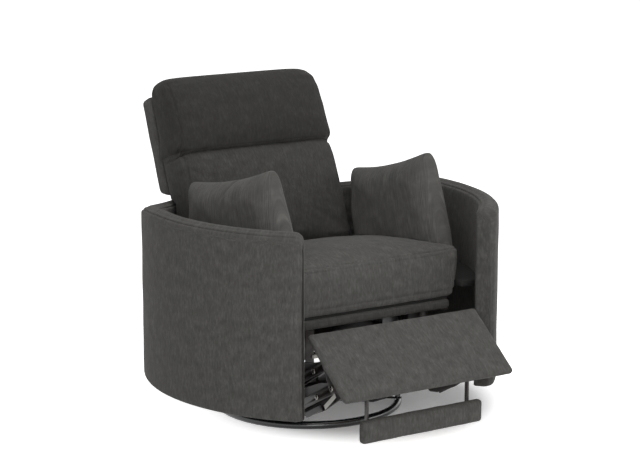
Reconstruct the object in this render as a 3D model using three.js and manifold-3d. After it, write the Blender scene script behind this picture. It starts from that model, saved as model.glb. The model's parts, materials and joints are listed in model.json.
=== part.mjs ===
import * as THREE from 'three';
import { mergeVertices } from 'three/addons/utils/BufferGeometryUtils.js';
import Module from 'manifold-3d';

// Swivel glider recliner with a barrel shell. Millimetres, +Z up, the sitter faces -Y.
// Side views are drawn in forward and up, where forward is measured from the swivel axis along -Y.

// Fits that every piece shares
const gap = 0.3;
const run = 0.5;
const overrun = 5;
const weld = 0.001;

// Base ring and its cross of flattened tubes
const ringTube = 22;
const ringReach = 264;
const ringSides = 10;
const ringSteps = 44;
const crossTube = 19;
const crossTurn = -40;
const spokeCount = 4;
const spokeSides = 12;
const spokeFlat = 5;
const spokeWidth = 27;
const spokeNeck = 38;
const spokeBend = 20;
const boltHead = 17;
const boltHeight = 4.5;
const hexSides = 6;

// Swivel bearing: a flanged post in a sleeve
const flangeReach = 58;
const flangeThick = 6;
const postReach = 20;
const postHeight = 46;
const capReach = 31;
const capThick = 4;
const sleeveWall = 9;
const roundSteps = 24;
const deckThick = 5;
const deckHalfLength = 118;
const deckLift = 28;
const deckMargin = 10;
const deckCorner = 18;

// Glide stands and the four hanging links
const standHalf = 150;
const plate = 4;
const glideHalf = 90;
const glidePivotUp = 222;
const glideLink = 100;
const standEar = 16;
const standFoot = 24;
const standFootHalf = 104;
const tieTube = 18;
const tieUp = 135;
const linkEar = 13;
const pinReach = 5;
const headReach = 9;
const headThick = 2.5;
const plateStep = 6;
const holeSteps = 5;
const pinSides = 10;

// Carriage rails, cross rails and the two bearers that tie them to the barrel
const railHeight = 38;
const railFlange = 28;
const railInside = 93;
const railFront = 150;
const crossWide = 34;
const crossHigh = 25;
const frontCrossBack = 148;
const rearCrossBack = 240;
const bearerThick = 20;
const bearerHigh = 60;
const bearerFoot = 112;

// Barrel shell: plan, rim and section
const shellHalf = 480;
const shellFrontReach = 520;
const shellRearReach = 483;
const shellCentreBack = -49;
const shellWall = 56;
const armEnd = 40.6;
const shellFoot = 105;
const armTop = 597;
const rearTop = 540;
const rimFallStart = 95;
const rimFallEnd = 150;
const rimRound = 15;
const rimCrown = 5;
const footRound = 13;
const armRound = 22;
const armInnerRound = 9;
const arcSteps = 3;
const shellSteps = 46;

// Side decks between the barrel and the seat
const deckPadTop = 386;
const deckPadThick = 18;
const deckPadFront = 325;
const deckPadBack = 150;
const deckPadGap = 4;

// Seat box and cushion, in a frame at the cushion's lower front edge that tips back
const seatFront = 345;
const seatBase = 361;
const seatTilt = 6;
const seatMouthGap = 14;
const seatDepth = 455;
const seatHigh = 122;
const seatRound = 30;
const seatCrown = 34;
const seatDraw = 6;
const seatBoxingDraw = 7;
const railThick = 22;
const railDeep = 60;
const railStart = 52;
const railLength = 498;
const frontRailHalf = 232;
const stripTop = 22;
const stripBottom = 46;
const stripProud = 14;
const stripRound = 9;
const frontRailThick = 34;
const springWire = 4;
const springCount = 4;
const springPitch = 88;
const springSwing = 23;
const springTurns = 9;
const springSides = 5;
const springStepsPerTurn = 4;
const springSeat = springWire + 2 * gap;
const backRailBack = 430;
const backRailThick = 22;

// Mechanism: two parallel link pairs in series on each side, then the turning front flap
const frontPivotBack = 165;
const frontPivotDrop = 61;
const pivotSpan = 85;
const carryAngle = 28.4;
const swingLink = 171;
const swingReach = 236;
const carryLink = 205;
const swingAngle = -60;
const boardAngle = -37.5;
const boardPivotAlong = 70;
const boardPivotUnder = 50;
const strapEar = 17;
const kneeBehind = 40;
const kneeUp = 283;
const torqueTube = 20;
const torqueAlong = 25;

// Slide that carries the seat up and forward as the back goes down
const slideAngle = 25;
const trackForward = 20;
const trackUp = 275;
const trackLength = 262;
const runnerLength = 160;
const runnerHigh = 24;
const runnerThick = 19;
const trackWall = 3.5;
const trackFootHalf = 62;
const uprightTravel = 27.6;

// Footrest board and flap
const boardMouthGap = 10;
const boardLength = 222;
const boardPad = 24;
const boardPadRound = 10;
const boardCrown = 5;
const boardPanel = 10;
const boardPanelInset = 14;
const bracketStart = 42;
const bracketThick = 3;
const flapPivotAlong = 170;
const flapPivotUnder = 46;
const flapTurn = -52.5;
const flapArmHalf = 157;
const flapArmWide = 14;
const flapStart = 76;
const flapTall = 60;
const flapHalf = 178;
const flapPad = 20;
const flapRound = 7;
const lugLength = 40;

// Back: hinge, frame, outer panel and two cushions
const hingeInside = 143;
const hingeUp = 385;
const backTilt = 22;
const backStrap = 74;
const frameThick = 24;
const frameTop = 470;
const postOuter = 170;
const postWide = 30;
const lowRailStart = 30;
const lowRailEnd = 88;
const midRailStart = 232;
const railBoard = 45;
const highRailHalf = 235;
const panelMouthGap = 14;
const panelStart = 207;
const panelEnd = 484;
const panelBack = 65;
const panelRound = 16;
const backMouthGap = 26;
const backPadFront = 118;
const backPadRound = 22;
const backPadCrown = 14;
const creaseUp = 308;
const headTop = 524;
const headFront = 124;
const headRound = 26;
const headCrown = 12;
const headTaper = 16;
const backDraw = 5;

// Loose pillows
const pillowLong = 452;
const pillowTall = 318;
const pillowThick = 128;
const pillowEdge = 9;
const pillowEar = 14;
const rightPillowInside = 134;
const leftPillowInside = 156;
const pillowPlaces = [
  { name: 'pillow_right', hand: 1, inside: rightPillowInside, forward: 12, up: 523, slope: 15, yaw: 0 },
  { name: 'pillow_left', hand: -1, inside: leftPillowInside, forward: 68, up: 543, slope: 13, yaw: 7 }
];

// Finishes
const cloth = new THREE.MeshStandardMaterial({ color: 0x4a4948, roughness: 0.95, metalness: 0 });
const darkCloth = new THREE.MeshStandardMaterial({ color: 0x2b2a2a, roughness: 0.95, metalness: 0 });
const blackSteel = new THREE.MeshStandardMaterial({ color: 0x1e1b1a, roughness: 0.45, metalness: 0.6 });
const gloss = new THREE.MeshStandardMaterial({ color: 0x141516, roughness: 0.25, metalness: 0.7 });
const zinc = new THREE.MeshStandardMaterial({ color: 0x8a8b8c, roughness: 0.35, metalness: 0.9 });
const timber = new THREE.MeshStandardMaterial({ color: 0xb08d62, roughness: 0.8, metalness: 0 });

const wasm = await Module();
wasm.setup();
const degrees = THREE.MathUtils.degToRad;
const halfTurn = Math.PI;
const quarterTurn = halfTurn / 2;
const fullTurn = 2 * halfTurn;

// Places that follow from the sizes above
const boreReach = pinReach + run;
const innerHalf = shellHalf - shellWall;
const mouthHalf = innerHalf * Math.sin(degrees(armEnd));
const seatHalf = mouthHalf - seatMouthGap;
const boardHalf = mouthHalf - boardMouthGap;
const backHalf = mouthHalf - backMouthGap;
const panelHalf = mouthHalf - panelMouthGap;
const innerRear = shellRearReach + shellCentreBack - shellWall;
const hingeBack = innerRear - hingeInside;
const railRear = innerRear - railInside;
const kneeForward = seatFront - seatDepth - kneeBehind;
const seatRailInner = seatHalf - railThick;
const mountPlane = seatRailInner - gap - plate;
const outerPlane = mountPlane - plateStep;
const innerPlane = outerPlane - plateStep;
const runnerInner = seatHalf + gap;
const runnerOuter = runnerInner + runnerThick;
const trackInner = runnerOuter - trackWall - run;
const trackOuter = runnerOuter + run + trackWall;
const bearerInner = trackOuter + gap;
const frontPivot = { forward: seatFront - frontPivotBack, up: seatBase - frontPivotDrop };
const rearPivot = {
  forward: frontPivot.forward - pivotSpan * Math.cos(degrees(carryAngle)),
  up: frontPivot.up - pivotSpan * Math.sin(degrees(carryAngle))
};
const glideDrop = glidePivotUp - glideLink;
const railFoot = glideDrop - railHeight / 2;
const railTop = railFoot + railHeight;
const glidePlane = standHalf + 2 * plate;
const railPlane = glidePlane + 2 * plate;

// Solid and geometry, back and forth
function signedVolume(position, index) {
  const a = new THREE.Vector3();
  const b = new THREE.Vector3();
  const c = new THREE.Vector3();
  let sum = 0;
  for (let i = 0; i < index.length; i += 3) {
    a.fromBufferAttribute(position, index[i]);
    b.fromBufferAttribute(position, index[i + 1]);
    c.fromBufferAttribute(position, index[i + 2]);
    sum += a.dot(b.cross(c));
  }
  return sum;
}

function solidOf(geometry) {
  geometry.deleteAttribute('normal');
  geometry.deleteAttribute('uv');
  const merged = mergeVertices(geometry, weld);
  const index = [];
  const old = merged.index.array;
  for (let i = 0; i < old.length; i += 3) {
    const [a, b, c] = [old[i], old[i + 1], old[i + 2]];
    if (a !== b && b !== c && c !== a) index.push(a, b, c);
  }
  if (signedVolume(merged.attributes.position, index) < 0) index.reverse();
  return new wasm.Manifold(new wasm.Mesh({
    numProp: 3,
    vertProperties: new Float32Array(merged.attributes.position.array),
    triVerts: new Uint32Array(index)
  }));
}

function geometryOf(solid) {
  const mesh = solid.getMesh();
  const geometry = new THREE.BufferGeometry();
  geometry.setAttribute('position', new THREE.BufferAttribute(new Float32Array(mesh.vertProperties), 3));
  geometry.setIndex(new THREE.BufferAttribute(new Uint32Array(mesh.triVerts), 1));
  return geometry;
}

function join(...geometries) {
  return geometryOf(geometries.map(solidOf).reduce((sum, next) => sum.add(next)));
}

function cut(geometry, ...cutters) {
  return geometryOf(cutters.map(solidOf).reduce((rest, next) => rest.subtract(next), solidOf(geometry)));
}

function common(geometry, other) {
  return geometryOf(solidOf(geometry).intersect(solidOf(other)));
}

function mirrored(geometry) {
  const copy = geometry.clone();
  copy.scale(-1, 1, 1);
  const index = Array.from(copy.index.array).reverse();
  copy.setIndex(index);
  return copy;
}

// Basic forms
function block(x0, x1, y0, y1, z0, z1) {
  const geometry = new THREE.BoxGeometry(x1 - x0, y1 - y0, z1 - z0);
  geometry.translate((x0 + x1) / 2, (y0 + y1) / 2, (z0 + z1) / 2);
  return geometry;
}

function turned(points, steps) {
  const geometry = new THREE.LatheGeometry(points.map(([r, z]) => new THREE.Vector2(r, z)), steps);
  geometry.rotateX(quarterTurn);
  return geometry;
}

function crossPin(reach, x0, x1, forward, up) {
  const geometry = new THREE.CylinderGeometry(reach, reach, x1 - x0, pinSides);
  geometry.rotateZ(quarterTurn);
  geometry.translate((x0 + x1) / 2, -forward, up);
  return geometry;
}

// A plate drawn in forward and up, standing from x0 to x1
function sidePlate(shape, x0, x1) {
  const geometry = new THREE.ExtrudeGeometry(shape, {
    depth: x1 - x0, bevelEnabled: false, curveSegments: holeSteps
  });
  const basis = new THREE.Matrix4().makeBasis(
    new THREE.Vector3(0, -1, 0), new THREE.Vector3(0, 0, 1), new THREE.Vector3(-1, 0, 0)
  );
  geometry.applyMatrix4(basis);
  geometry.translate(x1, 0, 0);
  return geometry;
}

function stadium(from, to, reach) {
  const across = Math.atan2(to.up - from.up, to.forward - from.forward);
  const shape = new THREE.Shape();
  shape.absarc(to.forward, to.up, reach, across - quarterTurn, across + quarterTurn, false);
  shape.absarc(from.forward, from.up, reach, across + quarterTurn, across + halfTurn + quarterTurn, false);
  return shape;
}

// A strap with round ends that bends at each place in between
function bentStrap(places, reach) {
  const headings = places.slice(1).map((p, i) => Math.atan2(p.up - places[i].up, p.forward - places[i].forward));
  const shape = new THREE.Shape();
  const last = places.length - 1;
  const side = (i, sign) => {
    const half = (headings[i] - headings[i - 1]) / 2;
    const turn = headings[i - 1] + half + sign * quarterTurn;
    const far = reach / Math.cos(half);
    shape.lineTo(places[i].forward + far * Math.cos(turn), places[i].up + far * Math.sin(turn));
  };
  const from = headings[0];
  shape.absarc(places[0].forward, places[0].up, reach, from + quarterTurn, from + halfTurn + quarterTurn, false);
  for (let i = 1; i < last; i += 1) side(i, -1);
  const to = headings[last - 1];
  shape.absarc(places[last].forward, places[last].up, reach, to - quarterTurn, to + quarterTurn, false);
  for (let i = last - 1; i > 0; i -= 1) side(i, 1);
  return shape;
}

function bored(geometry, places, x0, x1) {
  return cut(geometry, ...places.map((p) => crossPin(boreReach, x0 - overrun, x1 + overrun, p.forward, p.up)));
}

// A rivet that starts in one plate, passes the next and ends in a head
function rivetInward(fromX, passX, forward, up) {
  const shank = crossPin(pinReach, passX - gap - headThick, fromX, forward, up);
  const head = crossPin(headReach, passX - gap - headThick, passX - gap, forward, up);
  return [shank, head];
}

function rivetOutward(fromX, passX, forward, up) {
  const shank = crossPin(pinReach, fromX, passX + gap + headThick, forward, up);
  const head = crossPin(headReach, passX + gap, passX + gap + headThick, forward, up);
  return [shank, head];
}

function roundedRectangle(x0, x1, y0, y1, corner) {
  const shape = new THREE.Shape();
  shape.absarc(x1 - corner, y0 + corner, corner, -quarterTurn, 0, false);
  shape.absarc(x1 - corner, y1 - corner, corner, 0, quarterTurn, false);
  shape.absarc(x0 + corner, y1 - corner, corner, quarterTurn, halfTurn, false);
  shape.absarc(x0 + corner, y0 + corner, corner, halfTurn, halfTurn + quarterTurn, false);
  return shape;
}

// A closed body through rings of equally many points
function loft(rings) {
  const count = rings[0].length;
  const points = rings.flat();
  const index = [];
  for (let i = 0; i + 1 < rings.length; i += 1) {
    for (let j = 0; j < count; j += 1) {
      const a = i * count + j;
      const b = i * count + (j + 1) % count;
      index.push(a, b, b + count, a, b + count, a + count);
    }
  }
  const last = (rings.length - 1) * count;
  [[0, false], [last, true]].forEach(([start, ahead]) => {
    const middle = new THREE.Vector3();
    for (let j = 0; j < count; j += 1) middle.addScaledVector(points[start + j], 1 / count);
    points.push(middle);
    for (let j = 0; j < count; j += 1) {
      const pair = [start + j, start + (j + 1) % count];
      if (!ahead) pair.reverse();
      index.push(pair[0], pair[1], points.length - 1);
    }
  });
  const geometry = new THREE.BufferGeometry().setFromPoints(points);
  geometry.setIndex(index);
  return geometry;
}

// A box whose skin is shaped by a function of three coordinates from -1 to 1
function formed(counts, shape) {
  const geometry = new THREE.BoxGeometry(2, 2, 2, ...counts);
  const spread = (t) => Math.sin(t * quarterTurn);
  const place = geometry.attributes.position;
  for (let i = 0; i < place.count; i += 1) {
    const p = shape(spread(place.getX(i)), spread(place.getY(i)), spread(place.getZ(i)));
    place.setXYZ(i, p.x, p.y, p.z);
  }
  return geometryOf(solidOf(geometry));
}

function rounded(a, b, c, half, round) {
  const p = new THREE.Vector3(a, b, c).multiply(half);
  const core = new THREE.Vector3(
    Math.max(round - half.x, Math.min(half.x - round, p.x)),
    Math.max(round - half.y, Math.min(half.y - round, p.y)),
    Math.max(round - half.z, Math.min(half.z - round, p.z))
  );
  const out = p.clone().sub(core);
  if (out.length() > 0) out.setLength(round);
  return core.add(out);
}

const chair = new THREE.Group();

function add(group, name, geometry, material) {
  const mesh = new THREE.Mesh(geometry, material);
  mesh.name = name;
  group.add(mesh);
  return mesh;
}

function addPair(group, name, geometry, material) {
  add(group, name + '_right', geometry, material);
  add(group, name + '_left', mirrored(geometry), material);
}

function pivotGroup(parent, forward, up, turn) {
  const group = new THREE.Group();
  group.position.set(0, -forward, up);
  group.rotation.x = -degrees(turn);
  parent.add(group);
  return group;
}

// Base ring: a bent tube whose lowest facet lies flat on the floor
const ringFacet = ringTube / 2 * Math.cos(halfTurn / ringSides);
const ringCentre = ringReach - ringTube / 2;
function ringSection() {
  const points = [];
  for (let i = 0; i <= ringSides; i += 1) {
    const turn = (i % ringSides + 0.5) / ringSides * fullTurn;
    points.push([ringCentre + ringTube / 2 * Math.sin(turn), ringFacet - ringTube / 2 * Math.cos(turn)]);
  }
  return points;
}
add(chair, 'base_ring', turned(ringSection(), ringSteps), gloss);

// Cross: round tubes, pressed flat where they are bolted on the ring
const ringTop = 2 * ringFacet;
const crossUp = ringTop + gap + spokeFlat / 2;
const tubeUp = crossUp - spokeBend / 2 + spokeFlat / 2;
function spokeRing(reach, up, wide, high) {
  const ring = [];
  for (let i = 0; i < spokeSides; i += 1) {
    const turn = i / spokeSides * fullTurn;
    ring.push(new THREE.Vector3(reach, wide / 2 * Math.cos(turn), up + high / 2 * Math.sin(turn)));
  }
  return ring;
}
function spoke(turn) {
  const tip = ringReach;
  const flatStart = ringReach - ringTube - spokeNeck / 2;
  const tube = loft([
    spokeRing(0, tubeUp, crossTube, crossTube),
    spokeRing(flatStart - spokeNeck, tubeUp, crossTube, crossTube),
    spokeRing(flatStart, crossUp, spokeWidth, spokeFlat),
    spokeRing(tip - spokeFlat, crossUp, spokeWidth, spokeFlat),
    spokeRing(tip, crossUp, spokeWidth / 2, spokeFlat)
  ]);
  const bolt = new THREE.CylinderGeometry(boltHead / 2, boltHead / 2, spokeFlat / 2 + boltHeight, hexSides);
  bolt.rotateX(quarterTurn);
  bolt.translate(ringCentre, 0, crossUp + (spokeFlat / 2 + boltHeight) / 2);
  const both = join(tube, bolt);
  both.rotateZ(turn);
  return both;
}
const flangeFoot = tubeUp + crossTube / 2 + gap;
const spokes = [];
for (let i = 0; i < spokeCount; i += 1) spokes.push(spoke(degrees(crossTurn) + i / spokeCount * fullTurn));
add(chair, 'base_cross', join(...spokes), gloss);

// Swivel post with a flange below and a cap above the sleeve
const flangeTop = flangeFoot + flangeThick;
const postTop = flangeTop + postHeight;
add(chair, 'swivel_post', turned([
  [0, flangeFoot], [flangeReach, flangeFoot], [flangeReach, flangeTop], [postReach, flangeTop],
  [postReach, postTop], [capReach, postTop], [capReach, postTop + capThick], [0, postTop + capThick]
], roundSteps), zinc);

// Swivel deck: a plate with the sleeve that turns on the post
const swivelFrame = new THREE.Group();
chair.add(swivelFrame);
const deckFoot = flangeTop + deckLift;
const deckTop = deckFoot + deckThick;
const deckHalf = standHalf + plate + deckMargin;
function swivelDeck() {
  const outline = roundedRectangle(-deckHalf, deckHalf, -deckHalfLength, deckHalfLength, deckCorner);
  const sheet = new THREE.ExtrudeGeometry(outline, {
    depth: deckThick, bevelEnabled: false, curveSegments: holeSteps
  });
  sheet.translate(0, 0, deckFoot);
  const bore = postReach + run;
  const rim = bore + sleeveWall;
  const sleeve = turned([[0, flangeTop + run], [rim, flangeTop + run], [rim, postTop - run], [0, postTop - run]],
    roundSteps);
  const hollow = turned([[0, flangeTop - overrun], [bore, flangeTop - overrun], [bore, postTop + overrun],
    [0, postTop + overrun]], roundSteps);
  return cut(join(sheet, sleeve), hollow);
}
add(swivelFrame, 'swivel_deck', swivelDeck(), blackSteel);

// Glide stands: an upright plate with two ears and a foot on the deck
const standBase = deckTop + gap;
function glideStand() {
  const x1 = standHalf + plate;
  const shape = new THREE.Shape();
  shape.moveTo(-standFootHalf, standBase);
  shape.lineTo(standFootHalf, standBase);
  shape.absarc(glideHalf, glidePivotUp, standEar, 0, quarterTurn, false);
  shape.absarc(-glideHalf, glidePivotUp, standEar, quarterTurn, halfTurn, false);
  shape.closePath();
  const upright = sidePlate(shape, standHalf, x1);
  const foot = block(x1 - standFoot, x1, -standFootHalf, standFootHalf, standBase, standBase + plate);
  const pins = [-glideHalf, glideHalf].flatMap((f) => rivetOutward(standHalf, glidePlane + plate, f, glidePivotUp));
  return join(upright, foot, ...pins);
}
addPair(swivelFrame, 'glide_stand', glideStand(), blackSteel);
add(swivelFrame, 'glide_tie', crossPin(tieTube / 2, gap - standHalf, standHalf - gap, 0, tieUp), blackSteel);

// Glide links hang from the stands and carry the carriage rails
function glideLinkPlate() {
  const ends = [{ forward: 0, up: 0 }, { forward: glideLink, up: 0 }];
  const blank = sidePlate(stadium(ends[0], ends[1], linkEar), glidePlane, glidePlane + plate);
  return bored(blank, ends, glidePlane, glidePlane + plate);
}
addPair(pivotGroup(swivelFrame, glideHalf, glidePivotUp, -90), 'glide_front_link', glideLinkPlate(), blackSteel);
addPair(pivotGroup(swivelFrame, -glideHalf, glidePivotUp, -90), 'glide_rear_link', glideLinkPlate(), blackSteel);

// Carriage rails: an upright web with a top flange and the lower glide pins
const carriage = new THREE.Group();
chair.add(carriage);
function carriageRail() {
  const x1 = railPlane + plate;
  const web = block(railPlane, x1, -railFront, railRear, railFoot, railTop);
  const flange = block(railPlane, railPlane + railFlange, -railFront, railRear, railTop - plate, railTop);
  const pins = [-glideHalf, glideHalf].flatMap((f) => rivetInward(x1, glidePlane, f, glideDrop));
  return join(web, flange, ...pins);
}
addPair(carriage, 'carriage_rail', carriageRail(), blackSteel);

// Barrel plan: two half ellipses, measured by the angle from the front
function wallPoint(turn, inset, up) {
  const lengthwise = Math.cos(turn) > 0 ? shellFrontReach : shellRearReach;
  const x = (shellHalf - inset) * Math.sin(turn);
  const y = shellCentreBack - (lengthwise - inset) * Math.cos(turn);
  return new THREE.Vector3(x, y, up);
}
function rimUp(turn) {
  const away = Math.abs(turn - halfTurn);
  const share = (halfTurn - away - degrees(rimFallStart)) / degrees(rimFallEnd - rimFallStart);
  const t = Math.max(0, Math.min(1, share));
  return armTop - (armTop - rearTop) * t * t * (3 - 2 * t);
}
function wallSection(turn, outerCut, innerCut) {
  const rim = rimUp(turn);
  const points = [[shellWall, shellFoot]];
  for (let k = 0; k <= arcSteps; k += 1) {
    const a = k / arcSteps * quarterTurn;
    points.push([shellWall - rimRound * (1 - Math.cos(a)), rim - rimCrown - rimRound * (1 - Math.sin(a))]);
  }
  points.push([shellWall / 2, rim]);
  for (let k = arcSteps; k >= 0; k -= 1) {
    const a = k / arcSteps * quarterTurn;
    points.push([rimRound * (1 - Math.cos(a)), rim - rimCrown - rimRound * (1 - Math.sin(a))]);
  }
  for (let k = 0; k <= arcSteps; k += 1) {
    const a = k / arcSteps * quarterTurn;
    points.push([footRound * (1 - Math.cos(a)), shellFoot + footRound * (1 - Math.sin(a))]);
  }
  const left = (shellWall - outerCut - innerCut) / shellWall;
  return points.map(([inset, up]) => wallPoint(turn, outerCut + inset * left, up));
}
function barrel() {
  const start = degrees(armEnd);
  const ringsAtEnd = [];
  for (let k = arcSteps; k >= 0; k -= 1) {
    const a = k / arcSteps * quarterTurn;
    const turn = start + armRound * (1 - Math.sin(a)) / shellHalf;
    ringsAtEnd.push([turn, armRound * (1 - Math.cos(a)), armInnerRound * (1 - Math.cos(a))]);
  }
  const straight = [];
  for (let i = 1; i < shellSteps; i += 1) {
    straight.push([start + i / shellSteps * (fullTurn - 2 * start), 0, 0]);
  }
  const otherEnd = ringsAtEnd.map(([turn, a, b]) => [fullTurn - turn, a, b]).reverse();
  return loft([...ringsAtEnd, ...straight, ...otherEnd].map((ring) => wallSection(...ring)));
}
add(carriage, 'barrel_shell', barrel(), cloth);

// The space inside the barrel, a gap clear of its wall
function well(clear, from, to) {
  const points = [];
  for (let i = 0; i < 2 * shellSteps; i += 1) {
    const p = wallPoint(i / shellSteps * halfTurn, shellWall + clear, 0);
    points.push(new THREE.Vector2(p.x, p.y));
  }
  const geometry = new THREE.ExtrudeGeometry(new THREE.Shape(points), { depth: to - from, bevelEnabled: false });
  geometry.translate(0, 0, from);
  return geometry;
}
const fitted = well(2 * gap, 0, armTop);

// Bearers run as chords of the barrel and sit on the cross rails
const bearerOuter = bearerInner + bearerThick;
const bearer = common(
  block(bearerInner, bearerOuter, -shellFrontReach, shellRearReach, bearerFoot, bearerFoot + bearerHigh), fitted
);
addPair(carriage, 'bearer', bearer, timber);
const crossFoot = railTop + gap;
function crossRail(back) {
  const x = bearerInner - gap;
  return common(block(-x, x, back, back + crossWide, crossFoot, crossFoot + crossHigh), fitted);
}
add(carriage, 'cross_rail_front', crossRail(frontCrossBack), timber);
add(carriage, 'cross_rail_rear', crossRail(rearCrossBack), timber);

// Side decks close the space between seat and barrel
const deckPadInner = seatHalf + deckPadGap;
const sideDeck = common(
  block(deckPadInner, shellHalf, -deckPadFront, deckPadBack, deckPadTop - deckPadThick, deckPadTop), fitted
);
addPair(carriage, 'side_deck', sideDeck, darkCloth);

// Slide tracks: a channel on a foot plate against the bearer
const slideGroup = pivotGroup(carriage, trackForward, trackUp, slideAngle);
function slideTrack() {
  const half = trackLength / 2;
  const high = runnerHigh / 2 + run;
  const outside = block(trackInner, trackOuter, -half, half, -high - trackWall, high + trackWall);
  const inside = block(trackInner - overrun, trackOuter - trackWall, -half - overrun, half + overrun, -high, high);
  const channel = cut(outside, inside);
  const reach = trackUp - bearerFoot - crossHigh;
  const shape = new THREE.Shape();
  shape.moveTo(-trackFootHalf, 0);
  shape.lineTo(-trackFootHalf, -reach);
  shape.lineTo(trackFootHalf, -reach);
  shape.lineTo(trackFootHalf, 0);
  const foot = sidePlate(shape, trackOuter - trackWall, trackOuter);
  foot.rotateX(degrees(slideAngle));
  return join(channel, foot);
}
addPair(slideGroup, 'slide_track', slideTrack(), blackSteel);
const runner = block(runnerInner, runnerOuter, -runnerLength / 2, runnerLength / 2, -runnerHigh / 2, runnerHigh / 2);
addPair(slideGroup, 'slide_runner', runner, zinc);

// Seat box, tipped back about the lower front edge of the cushion
const seat = new THREE.Group();
seat.position.set(0, -seatFront, seatBase);
seat.rotation.x = -degrees(seatTilt);
carriage.add(seat);
const sideRail = block(seatRailInner, seatHalf, railStart, railStart + railLength, -railDeep, -gap);
addPair(seat, 'seat_side_rail', sideRail, timber);

function frontRail() {
  const shape = new THREE.Shape();
  const back = stripProud + frontRailThick;
  shape.moveTo(-back, -stripBottom);
  shape.absarc(-stripRound, -stripBottom + stripRound, stripRound, -quarterTurn, 0, false);
  shape.absarc(-stripRound, -stripTop - stripRound, stripRound, 0, quarterTurn, false);
  shape.lineTo(-stripProud, -stripTop);
  shape.lineTo(-stripProud, -springSeat);
  shape.lineTo(-back, -springSeat);
  return sidePlate(shape, -frontRailHalf, frontRailHalf);
}
add(seat, 'seat_front_rail', frontRail(), cloth);
const spanHalf = mountPlane - gap;
const backRail = block(-spanHalf, spanHalf, backRailBack, backRailBack + backRailThick, -railDeep, -springSeat);
add(seat, 'seat_back_rail', backRail, timber);

// Springs: wire bent to and fro from rail to rail
function seatSpring(x) {
  const start = stripProud + springWire;
  const end = backRailBack + backRailThick - springWire;
  const points = [];
  for (let i = 0; i <= springTurns; i += 1) {
    const y = start + i / springTurns * (end - start);
    const swing = i % 2 === 0 ? springSwing : -springSwing;
    points.push(new THREE.Vector3(x + swing, y, 0));
  }
  const path = new THREE.CatmullRomCurve3(points);
  const section = new THREE.Shape();
  for (let i = 0; i < springSides; i += 1) {
    const a = i / springSides * fullTurn;
    const p = [springWire / 2 * Math.cos(a), springWire / 2 * Math.sin(a)];
    if (i === 0) section.moveTo(...p);
    else section.lineTo(...p);
  }
  const wire = new THREE.ExtrudeGeometry(section, {
    steps: springTurns * springStepsPerTurn, extrudePath: path, bevelEnabled: false
  });
  wire.translate(0, 0, springWire / 2 + gap - springSeat);
  return geometryOf(solidOf(wire));
}
for (let i = 0; i < springCount; i += 1) {
  add(seat, 'seat_spring_' + (i + 1), seatSpring((i - (springCount - 1) / 2) * springPitch), zinc);
}

// Seat cushion: boxed, crowned, with sides drawn in between the corners
function seatCushion(grow) {
  const half = new THREE.Vector3(seatHalf + grow, seatDepth / 2 + grow, seatHigh / 2 + grow);
  return formed([14, 12, 4], (a, b, c) => {
    const p = rounded(a, b, c, half, seatRound);
    const level = (c + 1) / 2;
    p.z += seatCrown * level * (1 - a * a) * (1 - b * b) * (1 - b / 2);
    p.x *= 1 - seatDraw / seatHalf * (1 - b * b) * level - seatBoxingDraw / seatHalf * (1 - c * c);
    p.y += seatDepth / 2;
    p.z += seatHigh / 2;
    return p;
  });
}
add(seat, 'seat_cushion', seatCushion(0), cloth);

// Mechanism plates run from the footrest pivots along the seat rails up to the back hinges
function mechanismPlate() {
  const x1 = mountPlane + plate;
  const hinge = { forward: -hingeBack, up: hingeUp };
  const places = [frontPivot, rearPivot, { forward: kneeForward, up: kneeUp }, hinge];
  const pins = [frontPivot, rearPivot, hinge].flatMap((p) => rivetInward(x1, outerPlane, p.forward, p.up));
  return join(sidePlate(bentStrap(places, strapEar), mountPlane, x1), ...pins);
}
addPair(carriage, 'mechanism_plate', mechanismPlate(), blackSteel);

// Front swinging links, with the rivets that carry the two carrying links
function straightLink(places, plane, bores) {
  const blank = sidePlate(stadium(places[0], places[places.length - 1], linkEar), plane, plane + plate);
  return bored(blank, bores, plane, plane + plate);
}
const along = (distance) => ({ forward: distance, up: 0 });
const frontSwing = pivotGroup(carriage, frontPivot.forward, frontPivot.up, swingAngle);
function frontLink() {
  const blank = straightLink([along(0), along(swingReach)], outerPlane, [along(0)]);
  const pins = [swingLink, swingReach].flatMap((d) => rivetInward(outerPlane + plate, innerPlane, d, 0));
  return join(blank, ...pins);
}
addPair(frontSwing, 'footrest_front_link', frontLink(), blackSteel);
const torque = crossPin(torqueTube / 2, gap - outerPlane, outerPlane - gap, torqueAlong, 0);
add(frontSwing, 'footrest_torque_tube', torque, blackSteel);

const rearSwing = pivotGroup(carriage, rearPivot.forward, rearPivot.up, swingAngle);
function rearLink() {
  const blank = straightLink([along(0), along(swingLink)], outerPlane, [along(0)]);
  return join(blank, ...rivetInward(outerPlane + plate, innerPlane, swingLink, 0));
}
addPair(rearSwing, 'footrest_rear_link', rearLink(), blackSteel);

// Inner carrying links: rear swinging link, front swinging link and board bracket on one bar
const innerCarry = pivotGroup(frontSwing, swingLink, 0, carryAngle - swingAngle);
const innerLink = straightLink([along(-pivotSpan), along(carryLink)], innerPlane,
  [along(-pivotSpan), along(0), along(carryLink)]);
addPair(innerCarry, 'footrest_inner_link', innerLink, blackSteel);
const outerCarry = pivotGroup(frontSwing, swingReach, 0, carryAngle - swingAngle);
const outerLink = straightLink([along(0), along(carryLink)], innerPlane, [along(0), along(carryLink)]);
addPair(outerCarry, 'footrest_outer_link', outerLink, blackSteel);

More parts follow.
